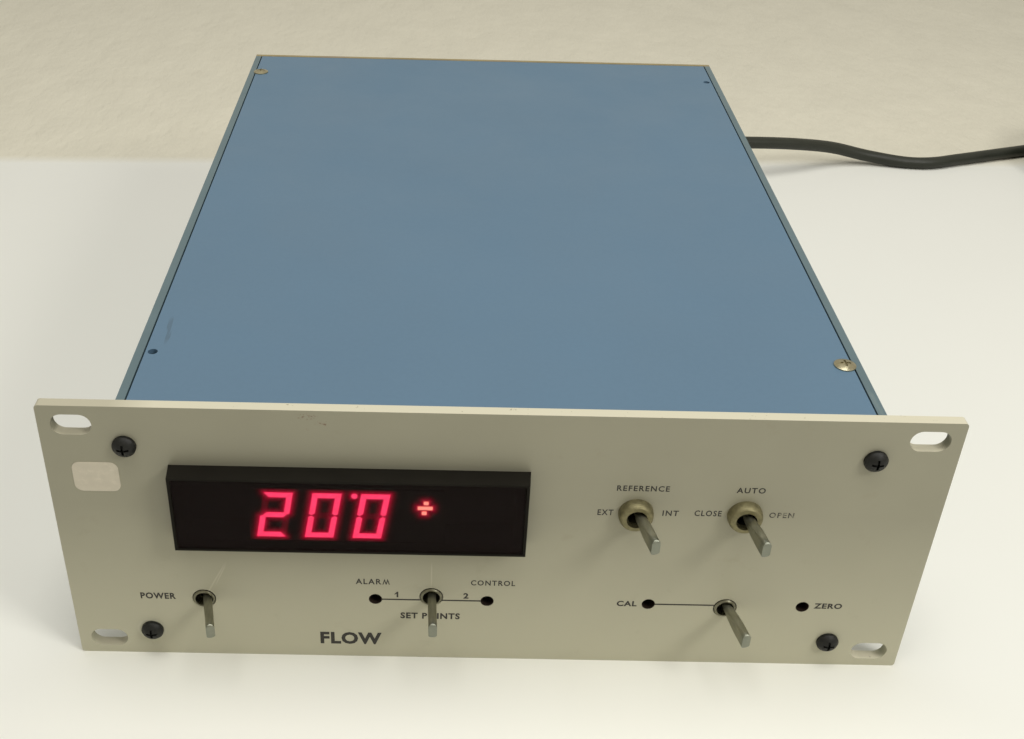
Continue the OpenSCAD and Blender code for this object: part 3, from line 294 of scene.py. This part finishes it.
def smooth_curve(name, points, radius):
    """A round tube on one smooth curve through all the points."""
    data = bpy.data.curves.new(name, "CURVE")
    data.dimensions = "3D"
    data.bevel_depth = radius
    data.bevel_resolution = 5
    data.resolution_u = 6
    data.use_fill_caps = True
    spline = data.splines.new("BEZIER")
    spline.bezier_points.add(len(points) - 1)
    for i, knot in enumerate(spline.bezier_points):
        before = points[max(i - 1, 0)]
        after = points[min(i + 1, len(points) - 1)]
        reach = (after - before) / 6
        knot.co = points[i]
        knot.handle_left_type = knot.handle_right_type = "FREE"
        knot.handle_left = points[i] - reach
        knot.handle_right = points[i] + reach
    piece = bpy.data.objects.new(name, data)
    bpy.context.scene.collection.objects.link(piece)
    return piece


def make_cord():
    """The mains cord as one tube, from the rear panel over the table into its coil."""
    points = [place(p) for p in [CORD_EXIT] + CORD_ROUTE + coil_points() + CORD_TAIL]
    piece = smooth_curve("mains_cord", points, CORD_D / 2 * MM)
    finish = mottled("cord_jacket", srgb(40, 42, 34), 0.12, 0.012, 0.45, grain=0.0005, depth=0.00003)
    finish.shader.inputs["Specular IOR Level"].default_value = 0.35
    piece.data.materials.append(finish.material)
    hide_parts("power_cord", "cord_coil")
    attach(piece, "instrument")


make_cord()


# Finishes

FILTER_ALPHA = 0.6
DIODE_STRENGTH = 7.0
DIODE_LIGHT = (1.0, 0.045, 0.13, 1)
SIGN_LIGHT = (1.0, 0.27, 0.2, 1)
SIGN_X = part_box("sign_module")[0][0]
SIGN_FADE = 0.0002
PANEL = srgb(157, 153, 131)
PANEL_FOOT_LIGHT = srgb(191, 187, 161)
PALE_MARK = srgb(206, 202, 180)
STAIN = srgb(138, 128, 100)
RUST = srgb(112, 76, 52)
TOP_EDGE_LIGHT = srgb(214, 208, 182)
TOP_EDGE_SHADE = srgb(172, 166, 142)
NICK = srgb(150, 142, 116)
HOLE_SHADE = srgb(48, 38, 32)
COVER = srgb(90, 118, 139)
RAIL = srgb(91, 111, 116)
TAN = srgb(160, 146, 108)
NICKEL = srgb(112, 110, 94)

# Places on the panel, in metres: heights between which painted light makes it paler towards its foot, and the
# centre and reach of each mark along X, Y and Z. Scratches lean by the last number, in degrees.

FOOT_LIGHT_HEIGHTS = (0.012, -0.040)
HOLE_REACH = 0.0022
SCREW_RING = ((-0.0991, 0, -0.0349), (0.0044, 0.1, 0.0044))
SCRATCHES = [
    ((-0.0790, 0, -0.0150), (0.00028, 0.001, 0.0082), -27),
    ((-0.0772, 0, -0.0128), (0.00022, 0.001, 0.0050), -24),
    ((-0.0177, 0, -0.0117), (0.00022, 0.001, 0.0054), 0),
]
RUST_SPOTS = [
    ((-0.0505, 0, 0.0425), (0.0030, 0.002, 0.0014)),
    ((-0.0463, 0, 0.0405), (0.0030, 0.002, 0.0009)),
    ((-0.0504, 0, 0.0386), (0.0006, 0.002, 0.0005)),
]


def mark_panel(finish):
    """Faint stains, scratches by two switches, a pale ring round a screw and rusty specks at the top."""
    stains = finish.ramp(finish.noise(0.012, 6, rough=0.7), 0.60, 0.72)
    finish.cover(finish.both(stains, 0.16), STAIN)
    for centre, reach, lean in SCRATCHES:
        finish.cover(finish.both(finish.near(centre, reach, lean), 0.4), PALE_MARK)
    ring = finish.away(*SCREW_RING)
    pale = finish.both(finish.ramp(ring, 0.75, 0.85), finish.ramp(ring, 0.9, 1.0, 1.0, 0.0))
    finish.cover(finish.both(pale, 0.35), PALE_MARK)
    specks = finish.ramp(finish.noise(0.0008, 3, rough=0.8), 0.55, 0.60)
    for centre, reach in RUST_SPOTS:
        finish.cover(finish.both(finish.near(centre, reach), specks, 0.8), RUST)


def paint_top_edge(finish):
    """The cut edge that faces up: cream with painted light, greyer at its left end with painted shade, and
    nicked.
    """
    # Painted light: the edge is paler where it faces up.
    top = finish.ramp(finish.facing("Z"), 0.6, 0.9)
    finish.cover(top, TOP_EDGE_LIGHT)
    # Painted shade: the left end of the edge is greyer.
    left_end_shade = finish.ramp(finish.axis("X"), -0.102, -0.090, 0.7, 0.0)
    finish.cover(finish.both(top, left_end_shade), TOP_EDGE_SHADE)
    nicks = finish.ramp(finish.noise(0.003, 5, rough=0.75), 0.64, 0.68)
    finish.cover(finish.both(top, nicks), NICK)


def shade_trimmer_holes(finish):
    """Painted shade on the walls of the holes in front of the trimmers' screws."""
    inward = finish.ramp(finish.facing("Y"), -0.6, -0.3)
    for node in nodes:
        if not node.endswith("_trim_screw"):
            continue
        low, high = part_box(node)
        centre = ((low[0] + high[0]) / 2, 0, (low[2] + high[2]) / 2)
        hole = finish.ramp(finish.away(centre, (HOLE_REACH, 0.1, HOLE_REACH)), 0.95, 1.0, 1.0, 0.0)
        # Painted shade darkens the holes' inner walls.
        finish.cover(finish.both(hole, inward), HOLE_SHADE)


def panel_paint():
    """Grey-beige enamel, with painted light making it paler towards its foot."""
    finish = mottled("panel_enamel", PANEL, 0.03, 0.03, 0.42, grain=0.0007, depth=0.000015)
    # Painted light: the enamel gets paler towards the panel's foot.
    finish.cover(finish.ramp(finish.axis("Z"), *FOOT_LIGHT_HEIGHTS), PANEL_FOOT_LIGHT)
    mark_panel(finish)
    paint_top_edge(finish)
    shade_trimmer_holes(finish)
    return finish


def cover_paint():
    """Grey-blue enamel with one short faint scratch by the empty screw hole."""
    finish = mottled("cover_enamel", COVER, 0.02, 0.05, 0.48, grain=0.0008, depth=0.00002)
    speckle = finish.ramp(finish.noise(0.0016, 2), 0.35, 0.65)
    finish.cover(finish.both(speckle, 0.10), shade(COVER, 1.25))
    hairs = finish.ramp(finish.noise(0.002, 2, (1, 0.08, 1)), 0.60, 0.64)
    scratch = finish.near((-0.0935, 0.040, 0.0433), (0.0022, 0.0085, 0.002))
    finish.cover(finish.both(scratch, hairs, 0.35), srgb(60, 74, 82))
    return finish


def rail_paint():
    """Grey-green enamel, rubbed in places along the upper edge."""
    finish = mottled("rail_enamel", RAIL, 0.06, 0.02, 0.40, grain=0.0008, depth=0.00002)
    rubbed = finish.ramp(finish.noise(0.006, 5, (1, 0.15, 1), 0.7), 0.60, 0.68)
    edge = finish.ramp(finish.axis("Z"), 0.0430, 0.0434)
    finish.cover(finish.both(edge, rubbed, 0.5), srgb(120, 134, 132))
    return finish


def chromate():
    """Gold chromate: tan with yellow and faint violet drifts."""
    finish = Finish("gold_chromate", TAN, 0.38, 0.75)
    drift = finish.noise(0.02, 4)
    finish.tones(drift, (0.3, srgb(158, 142, 102)), (0.5, srgb(174, 158, 114)), (0.7, srgb(164, 148, 120)))
    finish.vary_roughness(finish.noise(0.008, 3, (1, 1, 0.2)), 0.3, 0.45)
    finish.bump(finish.noise(0.0006, 2, (0.1, 1, 1)), 0.3, 0.00001)
    return finish


def brushed(name, color, roughness=0.3, stretch=(1, 0.1, 1), size=0.0008, spread=0.10):
    """Metal with fine lines along one axis and dull patches."""
    finish = Finish(name, color, roughness, 1.0)
    lines = finish.noise(size, 3, stretch)
    finish.tones(lines, (0.3, shade(color, 1 - spread)), (0.7, shade(color, 1 + spread)))
    finish.vary_roughness(finish.noise(size * 4, 3), roughness - 0.08, roughness + 0.1)
    finish.bump(lines, 0.25, 0.00001)
    return finish


def lever_metal():
    """Satin nickel, with painted shade darkening the end of the lever."""
    finish = brushed("lever_nickel", srgb(150, 149, 132), 0.45, (1, 0.15, 1))
    # Painted shade on the lever's end face.
    tip_shade = finish.ramp(finish.axis("Y"), -0.0135, -0.0115, 1.0, 0.0)
    finish.cover(finish.both(tip_shade, 0.8), srgb(128, 132, 122))
    return finish


def nut_metal():
    """Olive-grey plating, dull and uneven."""
    finish = brushed("worn_nickel", srgb(124, 118, 88), 0.5, (1, 1, 1), 0.0014, 0.2)
    finish.shader.inputs["Metallic"].default_value = 0.75
    return finish


def dull_bronze():
    """The adjusting screws, painted dark brown for the shade that falls on them behind their holes."""
    # Painted shade: the screws' dark colour.
    return brushed("dull_bronze", srgb(84, 62, 44), 0.5)


def display_mask():
    """Black solder mask of the display board, which is seen round the digit modules."""
    return mottled("display_mask", srgb(14, 13, 13), 0.1, 0.004, 0.6)


def black_screw():
    """Black oxide, dull and uneven."""
    finish = mottled("black_oxide", srgb(20, 20, 17), 0.4, 0.0008, 0.5)
    finish.shader.inputs["Specular IOR Level"].default_value = 0.3
    return finish


def clear_filter():
    """Smoked red sheet that dims what lies behind it."""
    finish = mottled("smoked_filter", srgb(26, 18, 16), 0.06, 0.02, 0.35, grain=0.002, depth=0.0)
    finish.shader.inputs["Alpha"].default_value = FILTER_ALPHA
    finish.shader.inputs["Specular IOR Level"].default_value = 0.06
    return finish


def bezel_plastic():
    """Matt black plastic."""
    finish = mottled("bezel_plastic", srgb(29, 27, 22), 0.1, 0.01, 0.6, grain=0.0005, depth=0.00003)
    finish.shader.inputs["Specular IOR Level"].default_value = 0.05
    return finish


def lit_diodes():
    """Uneven red light from the digits' diodes, and more orange light from those of the sign."""
    finish = mottled("lit_diodes", DIODE_LIGHT, 0.15, 0.002, 0.5)
    finish.cover(finish.ramp(finish.axis("X"), SIGN_X - SIGN_FADE, SIGN_X), SIGN_LIGHT)
    finish.link(finish.color, finish.shader.inputs["Emission Color"])
    finish.shader.inputs["Emission Strength"].default_value = DIODE_STRENGTH
    return finish


def circuit_board():
    """Green board with tinned tracks."""
    finish = mottled("circuit_board", srgb(40, 96, 62), 0.08, 0.01, 0.35)
    bricks = finish.make("ShaderNodeTexBrick")
    bricks.inputs["Scale"].default_value = 90
    bricks.inputs["Mortar Size"].default_value = 0.035
    finish.link(finish.place, bricks.inputs["Vector"])
    tracks = finish.ramp(bricks.outputs["Fac"], 0.4, 0.6)
    finish.cover(finish.both(tracks, 0.7), srgb(170, 172, 160))
    return finish


def laminations():
    """Dull steel with the edges of its sheets."""
    finish = mottled("laminations", srgb(88, 84, 80), 0.1, 0.01, 0.5, metallic=0.6)
    waves = finish.make("ShaderNodeTexWave", bands_direction="Y")
    waves.inputs["Scale"].default_value = 320
    finish.link(finish.place, waves.inputs["Vector"])
    finish.bump(waves.outputs["Fac"], 0.5, 0.0001)
    return finish


FINISHES = {
    "panel_paint": panel_paint,
    "case_paint": cover_paint,
    "rail_paint": rail_paint,
    "chromate": chromate,
    "black_screw": black_screw,
    "plated_screw": lambda: brushed("plated_screw", srgb(168, 162, 138), 0.34, (1, 1, 1), 0.001, 0.15),
    "steel": lambda: brushed("zinc_plate", srgb(186, 186, 180), 0.3),
    "switch_metal": lambda: brushed("switch_nickel", NICKEL, 0.3, (1, 0.2, 1)),
    "nut_metal": nut_metal,
    "brass": lambda: brushed("brass", srgb(206, 172, 92), 0.28),
    "bezel": bezel_plastic,
    "filter": clear_filter,
    "digit_body": lambda: mottled("digit_face", srgb(16, 8, 9), 0.1, 0.004, 0.5),
    "segment": lit_diodes,
    "board": circuit_board,
    "switch_body": lambda: mottled("switch_moulding", srgb(140, 36, 28), 0.08, 0.006, 0.35),
    "trimmer": lambda: mottled("trimmer_moulding", srgb(36, 72, 140), 0.08, 0.006, 0.3),
    "pins": lambda: brushed("tinned", srgb(206, 200, 182), 0.32, (1, 1, 1)),
    "lamination": laminations,
    "winding": lambda: mottled("winding_tape", srgb(196, 160, 84), 0.12, 0.004, 0.4, stretch=(0.2, 0.2, 1)),
    "capacitor": lambda: mottled("capacitor_sleeve", srgb(40, 52, 100), 0.06, 0.01, 0.25),
    "black_plastic": lambda: mottled("black_moulding", srgb(36, 36, 36), 0.12, 0.006, 0.42, grain=0.0004,
                                     depth=0.00003),
    "relay": lambda: mottled("relay_cover", srgb(212, 204, 176), 0.04, 0.01, 0.3),
    "shell": lambda: brushed("tin_plate", srgb(184, 184, 178), 0.33),
    "fuse_metal": lambda: brushed("bright_plate", srgb(214, 214, 210), 0.15),
    "cord": lambda: mottled("rubber", srgb(40, 40, 36), 0.1, 0.01, 0.45),
    "plug": lambda: mottled("plug_rubber", srgb(38, 38, 35), 0.1, 0.01, 0.45, grain=0.0005, depth=0.00004),
}


NODE_FINISHES = [
    ("_lever", lever_metal),
    ("_trim_screw", dull_bronze),
    ("meter_display_board", display_mask),
]


def finish_nodes():
    """Each CAD node takes the finish of its slot, or its own where its name ends as listed."""
    made = {slot: build().material for slot, build in FINISHES.items()}
    own = [(ending, build().material) for ending, build in NODE_FINISHES]
    for entry in frame["record"]["subparts"]:
        name = entry["node"]
        material = next((m for ending, m in own if name.endswith(ending)), made[entry["material_slot"]])
        nodes[name].data.materials.clear()
        nodes[name].data.materials.append(material)


finish_nodes()


# Printing on the front panel

INK_LIFT = 0.03 * MM
INK = mottled("printing_ink", srgb(38, 34, 28), 0.15, 0.003, 0.5).material


def flat_piece(name, vertices, faces, material, body="instrument"):
    """A mesh from vertices in metres, riding on a body."""
    data = bpy.data.meshes.new(name)
    data.from_pydata(vertices, [], faces)
    data.materials.append(material)
    piece = bpy.data.objects.new(name, data)
    bpy.context.scene.collection.objects.link(piece)
    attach(piece, body)
    return piece


def letter_mesh(words, weight, tracking):
    """The words as vertices and faces in a plane, from Blender's own font."""
    data = bpy.data.curves.new("words", "FONT")
    data.body = words
    data.offset = weight
    data.space_character = tracking
    data.resolution_u = 3
    maker = bpy.data.objects.new("words", data)
    bpy.context.scene.collection.objects.link(maker)
    bpy.context.view_layer.update()
    mesh = bpy.data.meshes.new_from_object(maker)
    bpy.data.objects.remove(maker)
    points = [(v.co.x, v.co.y) for v in mesh.vertices]
    faces = [tuple(f.vertices) for f in mesh.polygons]
    bpy.data.meshes.remove(mesh)
    return points, faces


def label(words, x_low, x_high, z_middle, height, style, material, turned=1):
    """Printed words that fill the box from x_low to x_high, height tall; turned -1 is upside down."""
    weight, tracking = style
    points, faces = letter_mesh(words, weight, tracking)
    left, right = min(p[0] for p in points), max(p[0] for p in points)
    low, high = min(p[1] for p in points), max(p[1] for p in points)
    vertices = []
    for x, y in points:
        across = (x_low + x_high) / 2 + turned * ((x - left) / (right - left) - 0.5) * (x_high - x_low)
        upward = z_middle + turned * ((y - low) / (high - low) - 0.5) * height
        vertices.append((across * MM, -INK_LIFT, upward * MM))
    name = "print_" + PRINT_NAMES.get(words, words.lower().replace(" ", "_"))
    flat_piece(name, vertices, faces, material)


# Styles are the letters' extra weight and their spacing. Places are in millimetres: left end, right end,
# middle height and letter height. The font's M fills wrongly when it gets extra weight, so ALARM ends in a W
# that is printed upside down.

LIGHT = (0.022, 1.22)
BOLD = (0.036, 1.14)
HEAVY = (0.042, 1.10)
PRINT_NAMES = {"ALAR": "alarm", "W": "alarm_m", "2": "figure_two"}
LABELS = [
    ("POWER", -100.9, -90.8, -21.5, 2.4, BOLD),
    ("ALAR", -39.2, -31.9, -14.5, 2.1, LIGHT),
    ("CONTROL", -6.5, 6.1, -14.25, 2.0, LIGHT),
    ("2", -8.5, -7.0, -19.35, 2.15, BOLD),
    ("SET POINTS", -26.5, -9.3, -27.5, 2.4, BOLD),
    ("REFERENCE", 31.6, 45.8, 21.1, 1.9, LIGHT),
    ("EXT", 27.1, 31.4, 12.6, 2.0, LIGHT),
    ("INT", 44.8, 49.2, 12.7, 1.9, LIGHT),
    ("AUTO", 63.8, 71.6, 21.1, 1.9, LIGHT),
    ("CLOSE", 53.5, 60.9, 12.9, 2.0, LIGHT),
    ("CAL", 35.6, 41.4, -21.2, 2.1, BOLD),
    ("ZERO", 92.4, 100.5, -20.75, 2.1, BOLD),
    ("FLOW", -50.0, -32.0, -37.1, 4.9, HEAVY),
]
WORN_LABELS = [("OPEN", 73.9, 80.7, 12.7, 1.9, LIGHT)]
LINE_T = 0.5
LINE_Z = -21.25
LINES = [(-31.75, -20.6), (-14.6, -3.55), (46.6, 63.8)]


def figure_one(x, z_low, z_high):
    """A plain figure one: an upright bar with a flag at its top left."""
    bar, flag = 0.5, 0.55
    outline = [
        (x, z_low),
        (x + bar, z_low),
        (x + bar, z_high),
        (x + bar / 3, z_high),
        (x - flag, z_high - flag * 1.6),
        (x - flag, z_high - flag * 2.3),
        (x, z_high - flag * 1.4),
    ]
    vertices = [(a * MM, -INK_LIFT, b * MM) for a, b in outline]
    flat_piece("print_figure_one", vertices, [tuple(range(len(outline)))], INK)


def worn_ink():
    """Printing ink that is half rubbed away."""
    finish = mottled("worn_ink", srgb(60, 55, 46), 0.15, 0.003, 0.5)
    rubbed = finish.ramp(finish.noise(0.0016, 3), 0.46, 0.54)
    finish.cover(finish.both(rubbed, 0.5), PANEL)
    return finish.material


def print_panel():
    """Words, figures and lines, each a sheet just in front of the enamel."""
    for words, x_low, x_high, z_middle, height, style in LABELS:
        label(words, x_low, x_high, z_middle, height, style, INK)
    label("W", -31.6, -29.5, -14.5, 2.1, LIGHT, INK, turned=-1)
    figure_one(-27.6, -20.4, -18.2)
    worn = worn_ink()
    for words, x_low, x_high, z_middle, height, style in WORN_LABELS:
        label(words, x_low, x_high, z_middle, height, style, worn)
    for i, (x_low, x_high) in enumerate(LINES):
        z_low = LINE_Z - LINE_T / 2
        z_high = LINE_Z + LINE_T / 2
        corners = [(x_low, z_low), (x_high, z_low), (x_high, z_high), (x_low, z_high)]
        vertices = [(x * MM, -INK_LIFT, z * MM) for x, z in corners]
        flat_piece(f"print_line_{i + 1}", vertices, [(0, 1, 2, 3)], INK)


print_panel()


STICKER_T = 0.12 * MM


def blank_sticker():
    """A worn paper sticker with rounded corners and nothing on it."""
    x_low, x_high, z_low, z_high, corner = -113.7, -101.4, 16.7, 26.4, 2.2
    finish = mottled("sticker_paper", srgb(206, 197, 176), 0.04, 0.003, 0.55)
    worn = finish.ramp(finish.noise(0.002, 4, rough=0.7), 0.52, 0.66)
    finish.cover(finish.both(worn, 0.3), srgb(228, 218, 198))
    outline = []
    for centre_x, centre_z, first in (
        (x_high - corner, z_high - corner, 0), (x_low + corner, z_high - corner, 90),
        (x_low + corner, z_low + corner, 180), (x_high - corner, z_low + corner, 270),
    ):
        for step in range(7):
            angle = math.radians(first + 15 * step)
            outline.append((centre_x + corner * math.cos(angle), centre_z + corner * math.sin(angle)))
    front = [(x * MM, -STICKER_T, z * MM) for x, z in outline]
    back = [(x * MM, 0, z * MM) for x, z in outline]
    count = len(outline)
    sides = [(i, i + count, (i + 1) % count + count, (i + 1) % count) for i in range(count)]
    faces = [tuple(range(count))[::-1]] + sides
    flat_piece("blank_sticker", front + back, faces, finish.material)


blank_sticker()


# Glow round the lit segments, in the tinted resin of the modules

GLOW_STEP = 0.28 * MM
GLOW_LIFT = 0.05 * MM
GLOW_MARGIN = 0.7 * MM
GLOW_STRENGTH = 6.0
EDGE_GLOW = 0.4
EDGE_REACH = 0.35 * MM
FAINT_GLOW = 0.13
FAINT_REACH = 1.2 * MM
UNLIT_SHARE = 0.06
DIGITS = 3
DIGIT_SLANT = math.tan(math.radians(10))


def glow_share(distance):
    """Light that spreads sideways in the tinted resin: strong at the segment's edge, faint beyond."""
    edge = EDGE_GLOW * math.exp(-distance / EDGE_REACH)
    faint = FAINT_GLOW * math.exp(-(distance / FAINT_REACH) ** 2)
    return edge + faint


def glow_finish():
    """Dark resin that shines by the sheet's glow value at each point."""
    finish = mottled("tinted_resin", srgb(16, 8, 9), 0.1, 0.004, 0.5)
    share = finish.make("ShaderNodeAttribute", attribute_name="glow").outputs["Fac"]
    finish.link(finish.both(share, GLOW_STRENGTH), finish.shader.inputs["Emission Strength"])
    finish.shader.inputs["Emission Color"].default_value = (1, 0.0, 0.06, 1)
    return finish.material


def in_segment(point, lit):
    """True within half a step of the lit segments."""
    return lit.find_nearest(point)[3] < GLOW_STEP / 2


def unlit_share(point, low, high, lit):
    """Faint light where a digit has a segment: the first digit, a two, and its mirror image make an eight."""
    pitch = (high[0] - low[0]) / DIGITS
    digit = min(DIGITS - 1, max(0, int((point[0] - low[0]) / pitch)))
    upward = point[2] - (low[2] + high[2]) / 2
    first_middle = low[0] + pitch / 2 + upward * DIGIT_SLANT
    across = point[0] - digit * pitch - first_middle
    for side in (1, -1):
        if in_segment(Vector((first_middle + side * across, point[1], point[2])), lit):
            return UNLIT_SHARE
    return 0.0


def grid(left, right, bottom, top, y):
    """The vertices and faces of an upright sheet at y, divided in squares of about GLOW_STEP."""
    columns = round((right - left) / GLOW_STEP)
    rows = round((top - bottom) / GLOW_STEP)
    vertices = []
    for row in range(rows + 1):
        for column in range(columns + 1):
            x = left + (right - left) * column / columns
            z = bottom + (top - bottom) * row / rows
            vertices.append((x, y, z))
    faces = []
    for row in range(rows):
        for column in range(columns):
            first = row * (columns + 1) + column
            faces.append((first, first + 1, first + columns + 2, first + columns + 1))
    return vertices, faces


def make_glow():
    """A sheet just in front of the modules, whose glow follows the distance to the lit segments."""
    mesh = nodes["lit_segments"].data
    lit = BVHTree.FromPolygons([v.co for v in mesh.vertices], [tuple(f.vertices) for f in mesh.polygons])
    low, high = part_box("digit_modules")
    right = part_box("sign_module")[1][0] + GLOW_MARGIN
    vertices, faces = grid(low[0] - GLOW_MARGIN, right, low[2] - GLOW_MARGIN, high[2] + GLOW_MARGIN,
                           low[1] - GLOW_LIFT)
    piece = flat_piece("display_glow", vertices, faces, glow_finish())
    glow = piece.data.attributes.new("glow", "FLOAT", "POINT")
    for vertex, value in zip(vertices, glow.data):
        value.value = glow_share(lit.find_nearest(Vector(vertex))[3])
        if low[0] < vertex[0] < high[0]:
            value.value += unlit_share(vertex, low, high, lit)


make_glow()


# Floor and light. The table's far edge lies TABLE_END metres from the panel and slopes across.

TABLE_END = 0.362
TABLE_END_SLOPE = 0.0426
TABLE = srgb(240, 239, 228)
BEHIND = srgb(230, 224, 202)
STAGE_REACH = 12
LAMP_COLOR = (1, 0.99, 0.97)
ROOM = srgb(206, 200, 182)
DIM_STRENGTH = 0.18


def make_stage():
    """A pale table, and a beige plastered surface beyond its far edge."""
    finish = mottled("table", TABLE, 0.01, 0.2, 0.6)
    across = finish.both(finish.axis("X"), TABLE_END_SLOPE)
    depth = finish.math("SUBTRACT", finish.axis("Y"), across)
    beyond = finish.ramp(depth, TABLE_END - 0.004, TABLE_END + 0.006)
    finish.cover(beyond, BEHIND)
    plaster = finish.both(finish.ramp(finish.noise(0.02, 5, (1, 0.5, 1), 0.6), 0.3, 0.7), beyond)
    finish.cover(finish.both(plaster, 0.5), shade(BEHIND, 0.9))
    finish.bump(plaster, 0.6, 0.002)
    corners = [(-1, -1), (1, -1), (1, 1), (-1, 1)]
    data = bpy.data.meshes.new("table")
    data.from_pydata([(STAGE_REACH * x, STAGE_REACH * y, FLOOR_Z) for x, y in corners], [], [(0, 1, 2, 3)])
    data.materials.append(finish.material)
    piece = bpy.data.objects.new("table", data)
    bpy.context.scene.collection.objects.link(piece)


def area_light(name, at, target, size, power):
    """A lamp of size width and height, in metres, that shines from at towards target."""
    data = bpy.data.lights.new(name, "AREA")
    data.shape = "RECTANGLE"
    data.size, data.size_y = size
    data.energy = power
    data.color = LAMP_COLOR
    lamp = bpy.data.objects.new(name, data)
    lamp.location = at
    lamp.rotation_euler = (Vector(target) - Vector(at)).to_track_quat("-Z", "Y").to_euler()
    bpy.context.scene.collection.objects.link(lamp)


def make_world():
    """Dim light from all round, behind which a pale beige room is seen and reflected."""
    world = bpy.data.worlds.new("world")
    bpy.context.scene.world = world
    world.use_nodes = True
    tree = world.node_tree
    dim = tree.nodes["Background"]
    dim.inputs["Color"].default_value = LAMP_COLOR + (1,)
    dim.inputs["Strength"].default_value = DIM_STRENGTH
    room = tree.nodes.new("ShaderNodeBackground")
    room.inputs["Color"].default_value = ROOM
    rays = tree.nodes.new("ShaderNodeLightPath")
    seen = rays.outputs["Is Camera Ray"]
    for kind in ("Is Glossy Ray", "Is Transmission Ray"):
        either = tree.nodes.new("ShaderNodeMath")
        either.operation = "MAXIMUM"
        tree.links.new(seen, either.inputs[0])
        tree.links.new(rays.outputs[kind], either.inputs[1])
        seen = either.outputs[0]
    mix = tree.nodes.new("ShaderNodeMixShader")
    tree.links.new(seen, mix.inputs[0])
    tree.links.new(dim.outputs[0], mix.inputs[1])
    tree.links.new(room.outputs[0], mix.inputs[2])
    tree.links.new(mix.outputs[0], tree.nodes["World Output"].inputs["Surface"])


def make_light():
    """A large lamp overhead, and a small one at the right front that casts the soft shadows."""
    area_light("overhead_light", (0, -0.06, 1.3), (0, 0.14, 0), (1.0, 1.0), 13.0)
    area_light("side_light", (0.66, -0.45, 0.72), (0, 0.05, 0), (0.3, 0.3), 3.9)


make_stage()
make_world()
make_light()
bpy.context.scene.view_settings.view_transform = "Standard"
